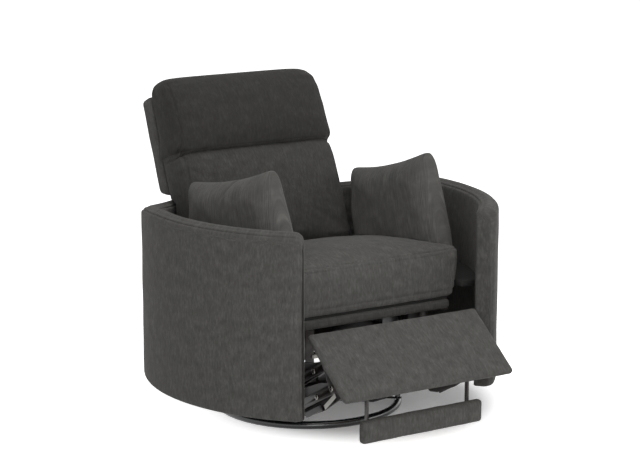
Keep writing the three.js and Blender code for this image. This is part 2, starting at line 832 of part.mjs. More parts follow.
// Footrest board: brackets, panel and pad in a frame whose origin is the board's upper front edge
const boardJoint = pivotGroup(innerCarry, carryLink, 0, boardAngle - carryAngle);
const board = new THREE.Group();
board.position.set(0, boardPivotAlong, boardPivotUnder);
boardJoint.add(board);
const lowerTurn = degrees(swingAngle - boardAngle);
const bracketPivots = [
  { forward: boardPivotAlong, up: -boardPivotUnder },
  {
    forward: boardPivotAlong + (swingReach - swingLink) * Math.cos(lowerTurn),
    up: -boardPivotUnder + (swingReach - swingLink) * Math.sin(lowerTurn)
  }
];
const padUnder = boardPad + gap;
const panelUnder = padUnder + boardPanel;
const bracketTop = panelUnder + gap;
const flapPivot = { forward: flapPivotAlong, up: -flapPivotUnder };
function footrestBracket() {
  const x1 = outerPlane + plate;
  const end = flapPivotAlong + lugLength / 2;
  const [upper, lower] = bracketPivots;
  const under = Math.atan2(upper.up - lower.up, upper.forward - lower.forward) + quarterTurn;
  const shape = new THREE.Shape();
  shape.moveTo(bracketStart, -bracketTop);
  shape.lineTo(end, -bracketTop);
  shape.lineTo(end, -bracketTop - linkEar);
  shape.absarc(lower.forward, lower.up, linkEar, 0, under - fullTurn, true);
  shape.absarc(upper.forward, upper.up, linkEar, under, halfTurn, true);
  const web = sidePlate(shape, outerPlane, x1);
  const lugX = flapArmHalf + 2 * plate;
  const tongue = block(lugX, x1, -end, lugLength - end, -bracketTop - bracketThick, -bracketTop);
  const lug = sidePlate(stadium({ forward: flapPivotAlong, up: -bracketTop - bracketThick }, flapPivot, flapArmWide / 2),
    lugX, lugX + plate);
  const lugTrim = block(lugX - overrun, x1 + overrun, -end - overrun, overrun, -bracketTop, 0);
  const pins = bracketPivots.flatMap((p) => rivetInward(x1, innerPlane, p.forward, p.up));
  const flapPin = rivetInward(lugX + plate, flapArmHalf, flapPivot.forward, flapPivot.up);
  return join(web, ...pins, tongue, cut(lug, lugTrim), ...flapPin);
}
addPair(board, 'footrest_bracket', footrestBracket(), blackSteel);

function footrestPanel() {
  const shape = roundedRectangle(
    boardPanelInset - boardHalf, boardHalf - boardPanelInset,
    boardPanelInset - boardLength, -boardPanelInset, boardPanelInset
  );
  const sheet = new THREE.ExtrudeGeometry(shape, {
    depth: boardPanel, bevelEnabled: false, curveSegments: holeSteps
  });
  sheet.translate(0, 0, -panelUnder);
  return sheet;
}
add(board, 'footrest_panel', geometryOf(solidOf(footrestPanel())), timber);

function pad(half, thick, round, crown, counts, centreY, centreZ) {
  const size = new THREE.Vector3(half[0], half[1], thick / 2);
  return formed(counts, (a, b, c) => {
    const p = rounded(a, b, c, size, round);
    p.z += crown * (c + 1) / 2 * (1 - a ** 4) * (1 - b ** 4) - crown * (c + 1) / 2;
    p.y += centreY;
    p.z += centreZ;
    return p;
  });
}
add(board, 'footrest_pad', pad([boardHalf, boardLength / 2], boardPad, boardPadRound, boardCrown, [12, 8, 4],
  -boardLength / 2, -boardPad / 2), cloth);

// Front flap that unfolds past the board on two arms
const flap = pivotGroup(board, flapPivot.forward, flapPivot.up, flapTurn);
const flapEnd = flapStart + flapTall;
function flapArm() {
  const blank = sidePlate(stadium(along(0), along(flapEnd - flapArmWide), flapArmWide / 2), flapArmHalf,
    flapArmHalf + plate);
  return bored(blank, [along(0)], flapArmHalf, flapArmHalf + plate);
}
addPair(flap, 'flap_arm', flapArm(), blackSteel);
add(flap, 'flap_pad', pad([flapHalf, flapTall / 2], flapPad, flapRound, 0, [8, 4, 4],
  -flapStart - flapTall / 2, flapArmWide / 2 + gap + flapPad / 2), cloth);

// Back: everything below leans with the hinge
const back = new THREE.Group();
back.position.set(0, hingeBack, hingeUp);
back.rotation.x = -degrees(backTilt);
carriage.add(back);
function backStrapPlate() {
  const x1 = outerPlane + plate;
  const blank = sidePlate(stadium(along(0), { forward: 0, up: backStrap }, frameThick / 2), outerPlane, x1);
  return bored(blank, [along(0)], outerPlane, x1);
}
addPair(back, 'back_strap', backStrapPlate(), blackSteel);

function backFrame() {
  const y0 = -frameThick / 2;
  const y1 = frameThick / 2;
  const low = outerPlane - gap;
  const posts = [-postOuter, postOuter - postWide].map((x) => block(x, x + postWide, y0, y1, lowRailStart, frameTop));
  return join(
    ...posts,
    block(-low, low, y0, y1, lowRailStart, lowRailEnd),
    block(-highRailHalf, highRailHalf, y0, y1, midRailStart, midRailStart + railBoard),
    block(-highRailHalf, highRailHalf, y0, y1, frameTop - railBoard, frameTop)
  );
}
add(back, 'back_frame', backFrame(), timber);

function backPanel() {
  const front = frameThick / 2 + gap;
  const half = new THREE.Vector3(panelHalf, (panelBack - front) / 2, (panelEnd - panelStart) / 2);
  return formed([8, 4, 6], (a, b, c) => {
    const p = rounded(a, b, c, half, panelRound);
    p.y += (panelBack + front) / 2;
    p.z += (panelEnd + panelStart) / 2;
    return p;
  });
}
add(back, 'back_panel', backPanel(), cloth);

function backPad(bottom, top, front, round, crown, taper, grow) {
  const rear = frameThick / 2 + gap;
  const half = new THREE.Vector3(backHalf + grow, (front - rear) / 2 + grow, (top - bottom) / 2 + grow);
  return formed([12, 4, 9], (a, b, c) => {
    const p = rounded(a, b, c, half, round);
    const face = (1 - b) / 2;
    p.y -= crown * face * (1 - a * a) * (1 - c * c) - crown * face;
    p.x *= 1 - taper / backHalf * (c + 1) / 2 - backDraw / backHalf * (1 - c * c);
    p.y -= (front + rear) / 2;
    p.z += (top + bottom) / 2;
    return p;
  });
}
add(back, 'back_cushion', backPad(0, creaseUp, backPadFront, backPadRound, backPadCrown, 0, 0), cloth);
add(back, 'head_cushion', backPad(creaseUp + gap, headTop, headFront, headRound, headCrown, headTaper, 0), cloth);

// Pillows: knife-edged squares that stand between the seat and the barrel
function placed(geometry, group) {
  group.updateMatrixWorld(true);
  return geometry.clone().applyMatrix4(group.matrixWorld);
}
function pillow(place) {
  const shape = formed([12, 10, 1], (a, b, c) => {
    const full = Math.sqrt((1 - a ** 4) * (1 - b ** 4));
    const x = a * (pillowLong / 2 - pillowEar * (1 - b * b));
    const y = b * (pillowTall / 2 - pillowEar * (1 - a * a));
    return new THREE.Vector3(x, y, c * (pillowEdge / 2 + (pillowThick - pillowEdge) / 2 * full));
  });
  const stand = new THREE.Matrix4().makeBasis(
    new THREE.Vector3(0, -1, 0), new THREE.Vector3(0, 0, 1), new THREE.Vector3(-1, 0, 0)
  );
  shape.applyMatrix4(stand);
  shape.rotateX(-degrees(place.slope));
  shape.rotateZ(degrees(place.yaw));
  shape.translate(place.hand * (innerHalf - place.inside), -place.forward, place.up);
  const lowered = uprightTravel * Math.sin(degrees(slideAngle));
  const floor = deckPadTop + lowered + 2 * gap;
  const below = block(-shellHalf, shellHalf, -shellFrontReach, shellRearReach, 0, floor);
  return cut(shape, placed(seatCushion(gap), seat), below);
}
pillowPlaces.forEach((place) => add(carriage, place.name, pillow(place), cloth));

// The origin lies on the floor under the middle of the outline
chair.updateMatrixWorld(true);
const outline = new THREE.Box3().setFromObject(chair, true);
chair.position.y = -(outline.min.y + outline.max.y) / 2;

export default chair;
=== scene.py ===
# Swivel glider recliner: covers, finishes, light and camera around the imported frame
import json
import math
import bpy
from mathutils import Matrix, Vector, noise
from mathutils.bvhtree import BVHTree


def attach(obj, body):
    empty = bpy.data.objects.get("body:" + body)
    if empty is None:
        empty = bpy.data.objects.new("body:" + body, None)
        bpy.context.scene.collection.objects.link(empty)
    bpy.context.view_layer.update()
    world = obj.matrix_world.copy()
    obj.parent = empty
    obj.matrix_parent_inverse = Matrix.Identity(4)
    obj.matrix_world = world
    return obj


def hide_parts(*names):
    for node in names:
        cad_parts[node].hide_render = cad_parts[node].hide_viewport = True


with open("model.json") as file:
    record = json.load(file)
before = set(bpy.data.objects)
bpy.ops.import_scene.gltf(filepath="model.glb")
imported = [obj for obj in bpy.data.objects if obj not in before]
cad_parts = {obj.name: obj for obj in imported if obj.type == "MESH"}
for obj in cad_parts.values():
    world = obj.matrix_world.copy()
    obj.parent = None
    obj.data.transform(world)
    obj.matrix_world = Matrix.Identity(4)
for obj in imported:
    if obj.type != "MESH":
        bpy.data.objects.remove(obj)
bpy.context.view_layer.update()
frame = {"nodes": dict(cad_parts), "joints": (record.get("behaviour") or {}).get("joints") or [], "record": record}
mm = 0.001
bpy.ops.object.select_all(action="DESELECT")
pivots = {j["name"]: Vector(j["pos_m"]) for j in frame["joints"] if "pos_m" in j}
axisBack = pivots["base_swivel"].y / mm  # the swivel axis stands this far behind the frame's origin
print("frame loaded:", len(frame["nodes"]), "nodes")


# Small sums
def clamp(v, low, high):
    return max(low, min(high, v))


def lerp(a, b, t):
    return a + (b - a) * t


def ease(t):
    t = clamp(t, 0, 1)
    return t * t * (3 - 2 * t)


def bell(distance, width):
    return math.exp(-(distance / width) ** 2)


def steps(start, end, count):
    return [lerp(start, end, i / count) for i in range(count + 1)]


# Camera at the photograph's viewing angle
cameraSizes = {
    "place": (-3003, -4713, 1664), "target": (-32.1, -112.0, 495.9), "lens": 116.2, "sensor": 36,
}


def aimed(obj, place, target):
    obj.location = place
    obj.rotation_euler = (target - place).to_track_quat("-Z", "Y").to_euler()


def makeCamera(c):
    data = bpy.data.cameras.new("camera")
    data.lens = c["lens"]
    data.sensor_width = c["sensor"]
    camera = bpy.data.objects.new("camera", data)
    bpy.context.scene.collection.objects.link(camera)
    shift = Vector((0, axisBack, 0))
    aimed(camera, (Vector(c["place"]) + shift) * mm, (Vector(c["target"]) + shift) * mm)
    bpy.context.scene.camera = camera


makeCamera(cameraSizes)


# Finishes: what one would change is at the top of each
def linear(hexColour, alpha=1):
    channels = [int(hexColour[i:i + 2], 16) / 255 for i in (1, 3, 5)]
    return [c / 12.92 if c <= 0.04045 else ((c + 0.055) / 1.055) ** 2.4 for c in channels] + [alpha]


def node(tree, kind, settings=None, links=None):
    made = tree.nodes.new(kind)
    for key, value in (settings or {}).items():
        if isinstance(key, str) and hasattr(made, key):
            setattr(made, key, value)
        else:
            made.inputs[key].default_value = value
    for key, source in (links or {}).items():
        tree.links.new(source, made.inputs[key])
    return made


def ramp(tree, source, stops):
    made = node(tree, "ShaderNodeValToRGB", links={"Fac": source})
    made.color_ramp.elements[0].position = stops[0][0]
    made.color_ramp.elements[0].color = linear(stops[0][1])
    made.color_ramp.elements[1].position = stops[-1][0]
    made.color_ramp.elements[1].color = linear(stops[-1][1])
    for place, shade in stops[1:-1]:
        made.color_ramp.elements.new(place).color = linear(shade)
    return made.outputs["Color"]


def startMaterial(name, settings):
    material = bpy.data.materials.new(name)
    material.use_nodes = True
    tree = material.node_tree
    surface = tree.nodes["Principled BSDF"]
    for key, value in settings.items():
        surface.inputs[key].default_value = value
    return material, tree, surface


# Chenille: short-pile yarns woven as ribs, so light and dark streaks run along the cloth
def chenille(name, c):
    material, tree, surface = startMaterial(name, {
        "Roughness": 0.92, "Specular IOR Level": 0.25,
        "Sheen Weight": c["sheen"], "Sheen Roughness": 0.45, "Sheen Tint": linear("#c9c7c3"),
    })
    coords = node(tree, "ShaderNodeUVMap", {"uv_map": "cloth"}).outputs["UV"]

    def streaks(ribWidth, ribLength, detail):
        scaled = node(tree, "ShaderNodeMapping", {"Scale": (1 / (ribWidth * mm), 1 / (ribLength * mm), 1)},
                      {"Vector": coords})
        return node(tree, "ShaderNodeTexNoise", {"Scale": 1.0, "Detail": detail, "Roughness": 0.55},
                    {"Vector": scaled.outputs["Vector"]}).outputs["Fac"]

    yarn = streaks(c["ribWidth"], c["ribLength"], 2)
    slub = streaks(c["slubWidth"], c["slubLength"], 2)
    mottle = streaks(c["mottleSize"], c["mottleSize"], 3)
    mixed = node(tree, "ShaderNodeMath", {"operation": "MULTIPLY_ADD", 1: c["yarnShare"]},
                 {0: yarn, 2: slub})
    mixed = node(tree, "ShaderNodeMath", {"operation": "MULTIPLY_ADD", 1: c["mottleShare"]},
                 {0: mottle, 2: mixed.outputs[0]})
    top = 1 + c["yarnShare"] + c["mottleShare"]
    level = node(tree, "ShaderNodeMath", {"operation": "DIVIDE", 1: top}, {0: mixed.outputs[0]})
    tree.links.new(ramp(tree, level.outputs[0], c["shades"]), surface.inputs["Base Color"])
    ribs = node(tree, "ShaderNodeMapping", {"Scale": (1 / (c["pitch"] * mm), 1 / (c["pitch"] * 14 * mm), 1)},
                {"Vector": coords})
    wave = node(tree, "ShaderNodeTexWave", {"Scale": 1 / math.tau * 2, "Distortion": 2.2, "Detail": 2.0,
                                            "Detail Scale": 1.4}, {"Vector": ribs.outputs["Vector"]})
    high = node(tree, "ShaderNodeMath", {"operation": "MULTIPLY_ADD", 1: 0.6},
                {0: wave.outputs["Fac"], 2: level.outputs[0]})
    bump = node(tree, "ShaderNodeBump", {"Strength": c["bump"], "Distance": c["relief"] * mm},
                {"Height": high.outputs[0]})
    tree.links.new(bump.outputs["Normal"], surface.inputs["Normal"])
    return material


chenilleSizes = {
    "ribWidth": 2.8, "ribLength": 11, "slubWidth": 6, "slubLength": 26, "mottleSize": 30,
    "yarnShare": 0.9, "mottleShare": 0.9, "pitch": 2.6, "bump": 0.5, "relief": 0.8, "sheen": 0.07,
    "shades": [(0.28, "#343331"), (0.5, "#464543"), (0.72, "#5b5a57")],
}
coverCloth = chenille("coverChenille", chenilleSizes)
# The same cloth in darker shades: painted shade, for the back cushion, the seat's front rail and the tuck cloth
shadedCoverCloth = chenille("coverChenillePaintedShade", {
    **chenilleSizes, "sheen": 0.04, "shades": [(0.28, "#2b2a28"), (0.5, "#383735"), (0.72, "#484745")],
})
# A darker copy still for the head roll: deeper painted shade
headShadeCloth = chenille("coverChenilleDeeperPaintedShade", {
    **chenilleSizes, "sheen": 0.03, "shades": [(0.28, "#21201e"), (0.5, "#2b2a28"), (0.72, "#383735")],
})
pillowCloth = chenille("pillowCord", {
    **chenilleSizes, "ribWidth": 2.4, "ribLength": 40, "slubWidth": 4.2, "slubLength": 70, "pitch": 3.4,
    "bump": 0.8, "relief": 1.2, "sheen": 0.08,
    "shades": [(0.28, "#3a3937"), (0.5, "#4c4b49"), (0.72, "#615f5c")],
})


# Needled deck cloth: plain black felt that hides the frame
def deckFelt():
    material, tree, surface = startMaterial("needledDeckCloth", {
        "Roughness": 0.95, "Specular IOR Level": 0.2})
    coords = node(tree, "ShaderNodeTexCoord").outputs["Object"]
    fibre = node(tree, "ShaderNodeTexNoise", {"Scale": 1 / (1.6 * mm), "Detail": 4.0}, {"Vector": coords})
    shade = ramp(tree, fibre.outputs["Fac"], [(0.3, "#191918"), (0.7, "#2c2b2a")])
    tree.links.new(shade, surface.inputs["Base Color"])
    bump = node(tree, "ShaderNodeBump", {"Strength": 0.4, "Distance": 0.5 * mm},
                {"Height": fibre.outputs["Fac"]})
    tree.links.new(bump.outputs["Normal"], surface.inputs["Normal"])
    return material


deckCloth = deckFelt()


# A painted or plated metal: base colour with faint unevenness, and roughness that varies with handling
def metalFinish(name, shades, roughness, spread, metallic, grain, relief, coat=0.0):
    material, tree, surface = startMaterial(name, {
        "Metallic": metallic, "Coat Weight": coat, "Coat Roughness": 0.12})
    coords = node(tree, "ShaderNodeTexCoord").outputs["Object"]
    cloud = node(tree, "ShaderNodeTexNoise", {"Scale": 1 / (grain * 12 * mm), "Detail": 3.0},
                 {"Vector": coords})
    fine = node(tree, "ShaderNodeTexNoise", {"Scale": 1 / (grain * mm), "Detail": 3.0}, {"Vector": coords})
    tree.links.new(ramp(tree, cloud.outputs["Fac"], shades), surface.inputs["Base Color"])
    rough = node(tree, "ShaderNodeMapRange", {"To Min": roughness - spread, "To Max": roughness + spread},
                 {"Value": cloud.outputs["Fac"]})
    tree.links.new(rough.outputs["Result"], surface.inputs["Roughness"])
    bump = node(tree, "ShaderNodeBump", {"Strength": 0.3, "Distance": relief * mm},
                {"Height": fine.outputs["Fac"]})
    tree.links.new(bump.outputs["Normal"], surface.inputs["Normal"])
    return material


powderCoat = metalFinish("glossPowderCoat", [(0.3, "#0d0e0f"), (0.7, "#17191b")],
                         0.26, 0.05, 0.0, 1.2, 0.05, 0.6)
stripPaint = metalFinish("dippedStripSteel", [(0.3, "#14110f"), (0.55, "#1f1a17"), (0.8, "#2c2520")],
                         0.42, 0.1, 0.25, 1.6, 0.08, 0.15)
zincPlate = metalFinish("zincPlate", [(0.3, "#8d9092"), (0.7, "#b4b6b7")], 0.34, 0.08, 1.0, 1.0, 0.05)
rivetSteel = metalFinish("rivetSteel", [(0.3, "#6f6c69"), (0.7, "#a09c97")], 0.28, 0.08, 1.0, 0.8, 0.05)


# Sawn timber: long grain with darker growth lines
def timber(name, shades, along):
    material, tree, surface = startMaterial(name, {"Roughness": 0.78, "Specular IOR Level": 0.3})
    coords = node(tree, "ShaderNodeTexCoord").outputs["Object"]
    stretch = [1 / (3 * mm)] * 3
    stretch[along] = 1 / (70 * mm)
    scaled = node(tree, "ShaderNodeMapping", {"Scale": stretch}, {"Vector": coords})
    grain = node(tree, "ShaderNodeTexNoise", {"Scale": 1.0, "Detail": 5.0, "Distortion": 0.6},
                 {"Vector": scaled.outputs["Vector"]})
    tree.links.new(ramp(tree, grain.outputs["Fac"], shades), surface.inputs["Base Color"])
    bump = node(tree, "ShaderNodeBump", {"Strength": 0.4, "Distance": 0.3 * mm},
                {"Height": grain.outputs["Fac"]})
    tree.links.new(bump.outputs["Normal"], surface.inputs["Normal"])
    return material


stainShades = [(0.3, "#1c1916"), (0.5, "#28231e"), (0.72, "#372f27")]  # frame rails are stained black-brown
timberShades = [(0.3, "#8d6a42"), (0.5, "#b08c5f"), (0.72, "#c6a67b")]
stainedAlong = timber("stainedTimberAlong", stainShades, 1)
stainedAcross = timber("stainedTimberAcross", stainShades, 0)
timberAcross = timber("sawnTimberAcross", timberShades, 0)
timberUp = timber("sawnTimberUp", timberShades, 2)


def plain(name, shade, roughness, grain):
    material, tree, surface = startMaterial(name, {"Roughness": roughness})
    coords = node(tree, "ShaderNodeTexCoord").outputs["Object"]
    fine = node(tree, "ShaderNodeTexNoise", {"Scale": 1 / (grain * mm), "Detail": 3.0}, {"Vector": coords})
    soft = node(tree, "ShaderNodeMixRGB", {"blend_type": "MULTIPLY", "Fac": 0.18, "Color1": linear(shade)},
                {"Color2": fine.outputs["Fac"]})
    tree.links.new(soft.outputs["Color"], surface.inputs["Base Color"])
    bump = node(tree, "ShaderNodeBump", {"Strength": 0.2, "Distance": 0.1 * mm},
                {"Height": fine.outputs["Fac"]})
    tree.links.new(bump.outputs["Normal"], surface.inputs["Normal"])
    return material


nylon = plain("mouldedNylon", "#dcdad4", 0.4, 2)
card = plain("cardTag", "#d6d4ce", 0.7, 1)
blackPlastic = plain("mouldedBlackPlastic", "#161616", 0.45, 1.5)
print("finishes made:", len(bpy.data.materials))


# Making pieces
def meshPiece(name, points, faces):
    data = bpy.data.meshes.new(name)
    data.from_pydata([p * mm for p in points], [], faces)
    data.validate()
    piece = bpy.data.objects.new(name, data)
    bpy.context.scene.collection.objects.link(piece)
    return piece


def only(piece):
    bpy.ops.object.select_all(action="DESELECT")
    piece.select_set(True)
    bpy.context.view_layer.objects.active = piece


def smooth(piece, angle=None):
    only(piece)
    if angle is None:
        bpy.ops.object.shade_smooth()
    else:
        bpy.ops.object.shade_smooth_by_angle(angle=math.radians(angle))
    piece.select_set(False)


def outwards(piece):
    only(piece)
    bpy.ops.object.mode_set(mode="EDIT")
    bpy.ops.mesh.select_all(action="SELECT")
    bpy.ops.mesh.remove_doubles(threshold=0.00001)
    bpy.ops.mesh.normals_make_consistent(inside=False)
    bpy.ops.object.mode_set(mode="OBJECT")
    piece.select_set(False)


def applied(piece, kind, settings):
    only(piece)
    modifier = piece.modifiers.new(kind.lower(), kind)
    for key, value in settings.items():
        setattr(modifier, key, value)
    bpy.ops.object.modifier_apply(modifier=modifier.name)
    piece.select_set(False)


def bevelled(piece, width, segments, limit):
    applied(piece, "BEVEL", {"width": width * mm, "segments": segments, "limit_method": "ANGLE",
                             "angle_limit": limit})


def moved(piece, matrix):
    piece.data.transform(matrix)
    piece.data.update()


def dress(piece, finish, body, slot, *nodes):
    piece.data.materials.clear()
    piece.data.materials.append(finish)
    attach(piece, body)
    if nodes:
        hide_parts(*nodes)


def clothMap(piece, corner):
    layer = piece.data.uv_layers.new(name="cloth")
    for polygon in piece.data.polygons:
        for loop in polygon.loop_indices:
            point = piece.data.vertices[piece.data.loops[loop].vertex_index]
            layer.data[loop].uv = corner(polygon, point.co)


def ladder(rings):
    # Quads through rings of equally many points that each close on themselves
    count = len(rings[0])
    faces = []
    for i in range(len(rings) - 1):
        for j in range(count):
            k = (j + 1) % count
            faces.append((i * count + j, i * count + k, (i + 1) * count + k, (i + 1) * count + j))
    return faces


# Barrel shell: padded arms and wrap-around back, with a band over the rim and down both arm ends
barrel = {
    "half": 480, "frontReach": 520, "rearReach": 483, "centreBack": -49, "wall": 56, "armEnd": 39.4,
    "foot": 105, "armTop": 597, "rearTop": 549, "fallStart": 95, "fallEnd": 150,
    "rimRound": 15, "rimCrown": 5, "footRound": 13, "armRound": 22, "armInnerRound": 9,
    "seamDeep": 2.6, "seamWide": 2.4, "unevenDeep": 1.5, "unevenSize": 85,
    "cornerSteps": 12, "wallSteps": 44, "planSteps": 210, "acrossSteps": 10, "endDome": 16, "endSwell": 9,
    "topRound": 24,
}


def rimHeight(turn):
    b = barrel
    away = abs(turn - math.pi)
    share = (math.degrees(math.pi - away) - b["fallStart"]) / (b["fallEnd"] - b["fallStart"])
    return b["armTop"] - (b["armTop"] - b["rearTop"]) * ease(share)


def rimAt(turn):
    # The rim rounds down to the front face of each arm
    b = barrel
    fromEnd = (math.pi - abs(turn - math.pi) - math.radians(b["armEnd"])) * b["half"]
    short = clamp(1 - fromEnd / b["topRound"], 0, 1)
    return rimHeight(turn) - 0.9 * b["topRound"] * (1 - math.sqrt(1 - short * short))


def wallPoint(turn, inset, up):
    b = barrel
    reach = b["frontReach"] if math.cos(turn) > 0 else b["rearReach"]
    x = (b["half"] - inset) * math.sin(turn)
    y = b["centreBack"] - (reach - inset) * math.cos(turn)
    return Vector((x, y + axisBack, up))


def wallNormal(turn):
    b = barrel
    reach = b["frontReach"] if math.cos(turn) > 0 else b["rearReach"]
    return Vector((reach * math.sin(turn), -b["half"] * math.cos(turn), 0)).normalized()


def wallProfile(rim):
    # From the inner foot over the rim to the outer foot: inset, up, and depth of the seam there
    b = barrel
    r, c = b["rimRound"], b["rimCrown"]
    inner = [(b["wall"], up, 0) for up in steps(b["foot"], rim - c - r, b["wallSteps"])]
    corner = []
    for angle in steps(0, math.pi / 2, b["cornerSteps"])[1:]:
        seam = bell(r * (angle - math.pi / 4), b["seamWide"])
        corner.append((r * (1 - math.cos(angle)), rim - c - r * (1 - math.sin(angle)), seam))
    inner += [(b["wall"] - inset, up, seam) for inset, up, seam in corner]
    flat = steps(r, b["wall"] - r, b["acrossSteps"])[1:-1]
    middle = b["wall"] / 2
    band = [(b["wall"] - x, rim - c * ((x - middle) / (middle - r)) ** 2, 0) for x in flat]
    outer = [(inset, up, seam) for inset, up, seam in reversed(corner)]
    low = b["foot"] + b["footRound"]
    outer += [(0, up, 0) for up in steps(rim - c - r, low, b["wallSteps"])]
    for angle in steps(math.pi / 2, 0, b["cornerSteps"] // 2)[1:]:
        inset = b["footRound"] * (1 - math.sin(angle))
        outer.append((inset, b["foot"] + b["footRound"] * (1 - math.cos(angle)), 0))
    return inner + band + outer


def makeBarrel():
    b = barrel
    start = math.radians(b["armEnd"])
    stations = []
    for angle in steps(math.pi / 2, 0, b["cornerSteps"]):
        turn = start + b["armRound"] * (1 - math.sin(angle)) / b["half"]
        cut = 1 - math.cos(angle)
        seam = bell(b["armRound"] * (angle - math.pi / 4), b["seamWide"])
        stations.append((turn, b["armRound"] * cut, b["armInnerRound"] * cut, seam))
    first = stations[-1][0]
    plan = [(turn, 0, 0, 0) for turn in steps(first, 2 * math.pi - first, b["planSteps"])[1:-1]]
    stations = stations + plan + [(2 * math.pi - t, a, i, s) for t, a, i, s in reversed(stations)]
    points, places, run = [], [], 0
    last = None
    count = 0
    for turn, outerCut, innerCut, endSeam in stations:
        middle = wallPoint(turn, b["wall"] / 2, 0)
        run += (middle - last).length if last else 0
        last = middle
        left = (b["wall"] - outerCut - innerCut) / b["wall"]
        out = wallNormal(turn)
        rim = rimAt(turn)
        profile = wallProfile(rim)
        count = len(profile)
        for inset, up, seam in profile:
            share = inset / b["wall"]
            groove = max(seam, endSeam * abs(1 - 2 * share)) * b["seamDeep"]
            p = wallPoint(turn, outerCut + inset * left, up)
            face = 1 - 2 * share
            lift = clamp((up - b["foot"]) / 40, 0, 1) * clamp((rim - up) / 40, 0, 1)
            wave = noise.noise(p / b["unevenSize"]) * b["unevenDeep"] * lift
            p += out * (wave * (1 if face > 0 else -1) - groove * (1 if face > 0 else -1))
            if seam > endSeam:
                p.z -= groove * 0.7
            points.append(p)
            places.append((run, up + (b["wall"] - inset if up > rim - 25 else 0)))
    faces = ladder([points[i * count:(i + 1) * count] for i in range(len(stations))])
    # Arm ends: a domed band between the inner and the outer side
    half = count // 2
    for ring, sign in ((0, 1), (len(stations) - 1, -1)):
        base = ring * count
        ahead = (points[base] - points[base + (count if sign > 0 else -count)]).normalized()
        grid = []
        rim = rimAt(stations[ring][0])
        for k in range(half):
            a, z = base + k, base + count - 1 - k
            up = points[a].z
            swell = b["endSwell"] * ease((up - b["foot"] + 10) / 120) * ease((rim - up) / 190)
            row = [a]
            for t in steps(0, 1, b["acrossSteps"])[1:-1]:
                p = points[a].lerp(points[z], t)
                fade = clamp(min(up - b["foot"], rim - up) / 12, 0, 1)
                points.append(p + ahead * (b["endDome"] + swell) * 4 * t * (1 - t) * fade)
                places.append((places[a][0] - sign * b["wall"] * t, points[-1].z))
                row.append(len(points) - 1)
            row.append(z)
            grid.append(row)
        for k in range(half - 1):
            for n in range(b["acrossSteps"]):
                quad = (grid[k][n], grid[k][n + 1], grid[k + 1][n + 1], grid[k + 1][n])
                faces.append(quad if sign > 0 else quad[::-1])
    piece = meshPiece("barrelCover", points, faces)
    layer = piece.data.uv_layers.new(name="cloth")
    for loop in piece.data.loops:
        u, v = places[loop.vertex_index]
        layer.data[loop.index].uv = (u * mm, v * mm)
    return piece


barrelCover = makeBarrel()
outwards(barrelCover)
smooth(barrelCover, 50)
dress(barrelCover, coverCloth, "carriage", "chenille", "barrel_shell")
print("barrel made:", len(barrelCover.data.vertices), "points")


# Plain covers on CAD nodes whose shape is right: a merged copy with small bevels
def dressed(name, finish, body, slot, bevel=0.5, angle=40):
    source = frame["nodes"][name]
    piece = bpy.data.objects.new(name + "_finished", source.data.copy())
    bpy.context.scene.collection.objects.link(piece)
    only(piece)
    bpy.ops.object.mode_set(mode="EDIT")
    bpy.ops.mesh.select_all(action="SELECT")
    bpy.ops.mesh.remove_doubles(threshold=0.00001)
    bpy.ops.mesh.dissolve_limited(angle_limit=math.radians(1))
    bpy.ops.object.mode_set(mode="OBJECT")
    if bevel:
        bevelled(piece, bevel, 2, math.radians(angle))
    smooth(piece, angle)
    dress(piece, finish, body, slot, name)
    return piece


bodyOf = {name: body for body, names in frame["record"]["behaviour"]["bodies"].items() for name in names}
slotOf = {row["node"]: row["material_slot"] for row in frame["record"]["subparts"]}
finishOf = {
    "ring_gloss": powderCoat, "mechanism_steel": stripPaint, "plated_steel": zincPlate,
    "timber": stainedAlong,
}
timberTurn = {
    "cross_rail_front": stainedAcross, "cross_rail_rear": stainedAcross, "seat_back_rail": stainedAcross,
    "footrest_panel": timberAcross, "back_frame": timberUp,
}
bevels = {"ring_gloss": 0, "mechanism_steel": 0.5, "plated_steel": 0.4, "timber": 1.0}
for name, slotName in slotOf.items():
    if slotName in finishOf:
        dressed(name, timberTurn.get(name, finishOf[slotName]), bodyOf[name], slotName, bevels[slotName])
print("frame nodes finished")


# Places of the leaning groups, in millimetres
def leaning(x, y, z, degreesBack):
    return Matrix.Translation((x, y, z)) @ Matrix.Rotation(math.radians(degreesBack), 4, "X")


def pivotPlace(joint):
    return [v / mm for v in pivots[joint]]


seatPlace = leaning(0, axisBack - 345, 361, -6)
backPlace = leaning(*pivotPlace("back_recline"), -22)
boardPlace = leaning(*pivotPlace("footrest_board"), 37.5) @ Matrix.Translation((0, 70, 50))
flapPlace = leaning(*pivotPlace("flap_turn"), 90)


# What the barrel leaves free, at rest and with the back upright and the seat slid back
upright = {"lean": 5, "slide": (0, 25, -11.7)}
uprightTurn = (Matrix.Translation(Vector(pivotPlace("back_recline")) + Vector(upright["slide"]))
               @ Matrix.Rotation(math.radians(upright["lean"]), 4, "X")
               @ Matrix.Translation(-Vector(pivotPlace("back_recline"))))


def innerHalf(y):
    ahead = barrel["centreBack"] + axisBack - y
    reach = (barrel["frontReach"] if ahead > 0 else barrel["rearReach"]) - barrel["wall"]
    return (barrel["half"] - barrel["wall"]) * math.sqrt(max(0, 1 - (ahead / reach) ** 2))


rimClear = {"below": 8, "reach": 60, "room": 400}  # above the rim a piece may be as wide as it likes
leastRoom = 100  # a piece narrower than this lies behind the inner wall, where no width helps


def roomInside(y, z, gap):
    c, room = rimClear, []
    for turn in (Matrix(), uprightTurn):
        place = turn @ Vector((0, y, z))
        over = ease((place.z - barrel["rearTop"] + c["below"]) / c["reach"])
        room.append(innerHalf(place.y) - gap + c["room"] * over)
    return min(room)


def keptInside(piece, gap):
    for v in piece.data.vertices:
        room = roomInside(v.co.y / mm, v.co.z / mm, gap)
        if leastRoom < room < abs(v.co.x) / mm:
            v.co.x = math.copysign(room * mm, v.co.x)
    piece.data.update()


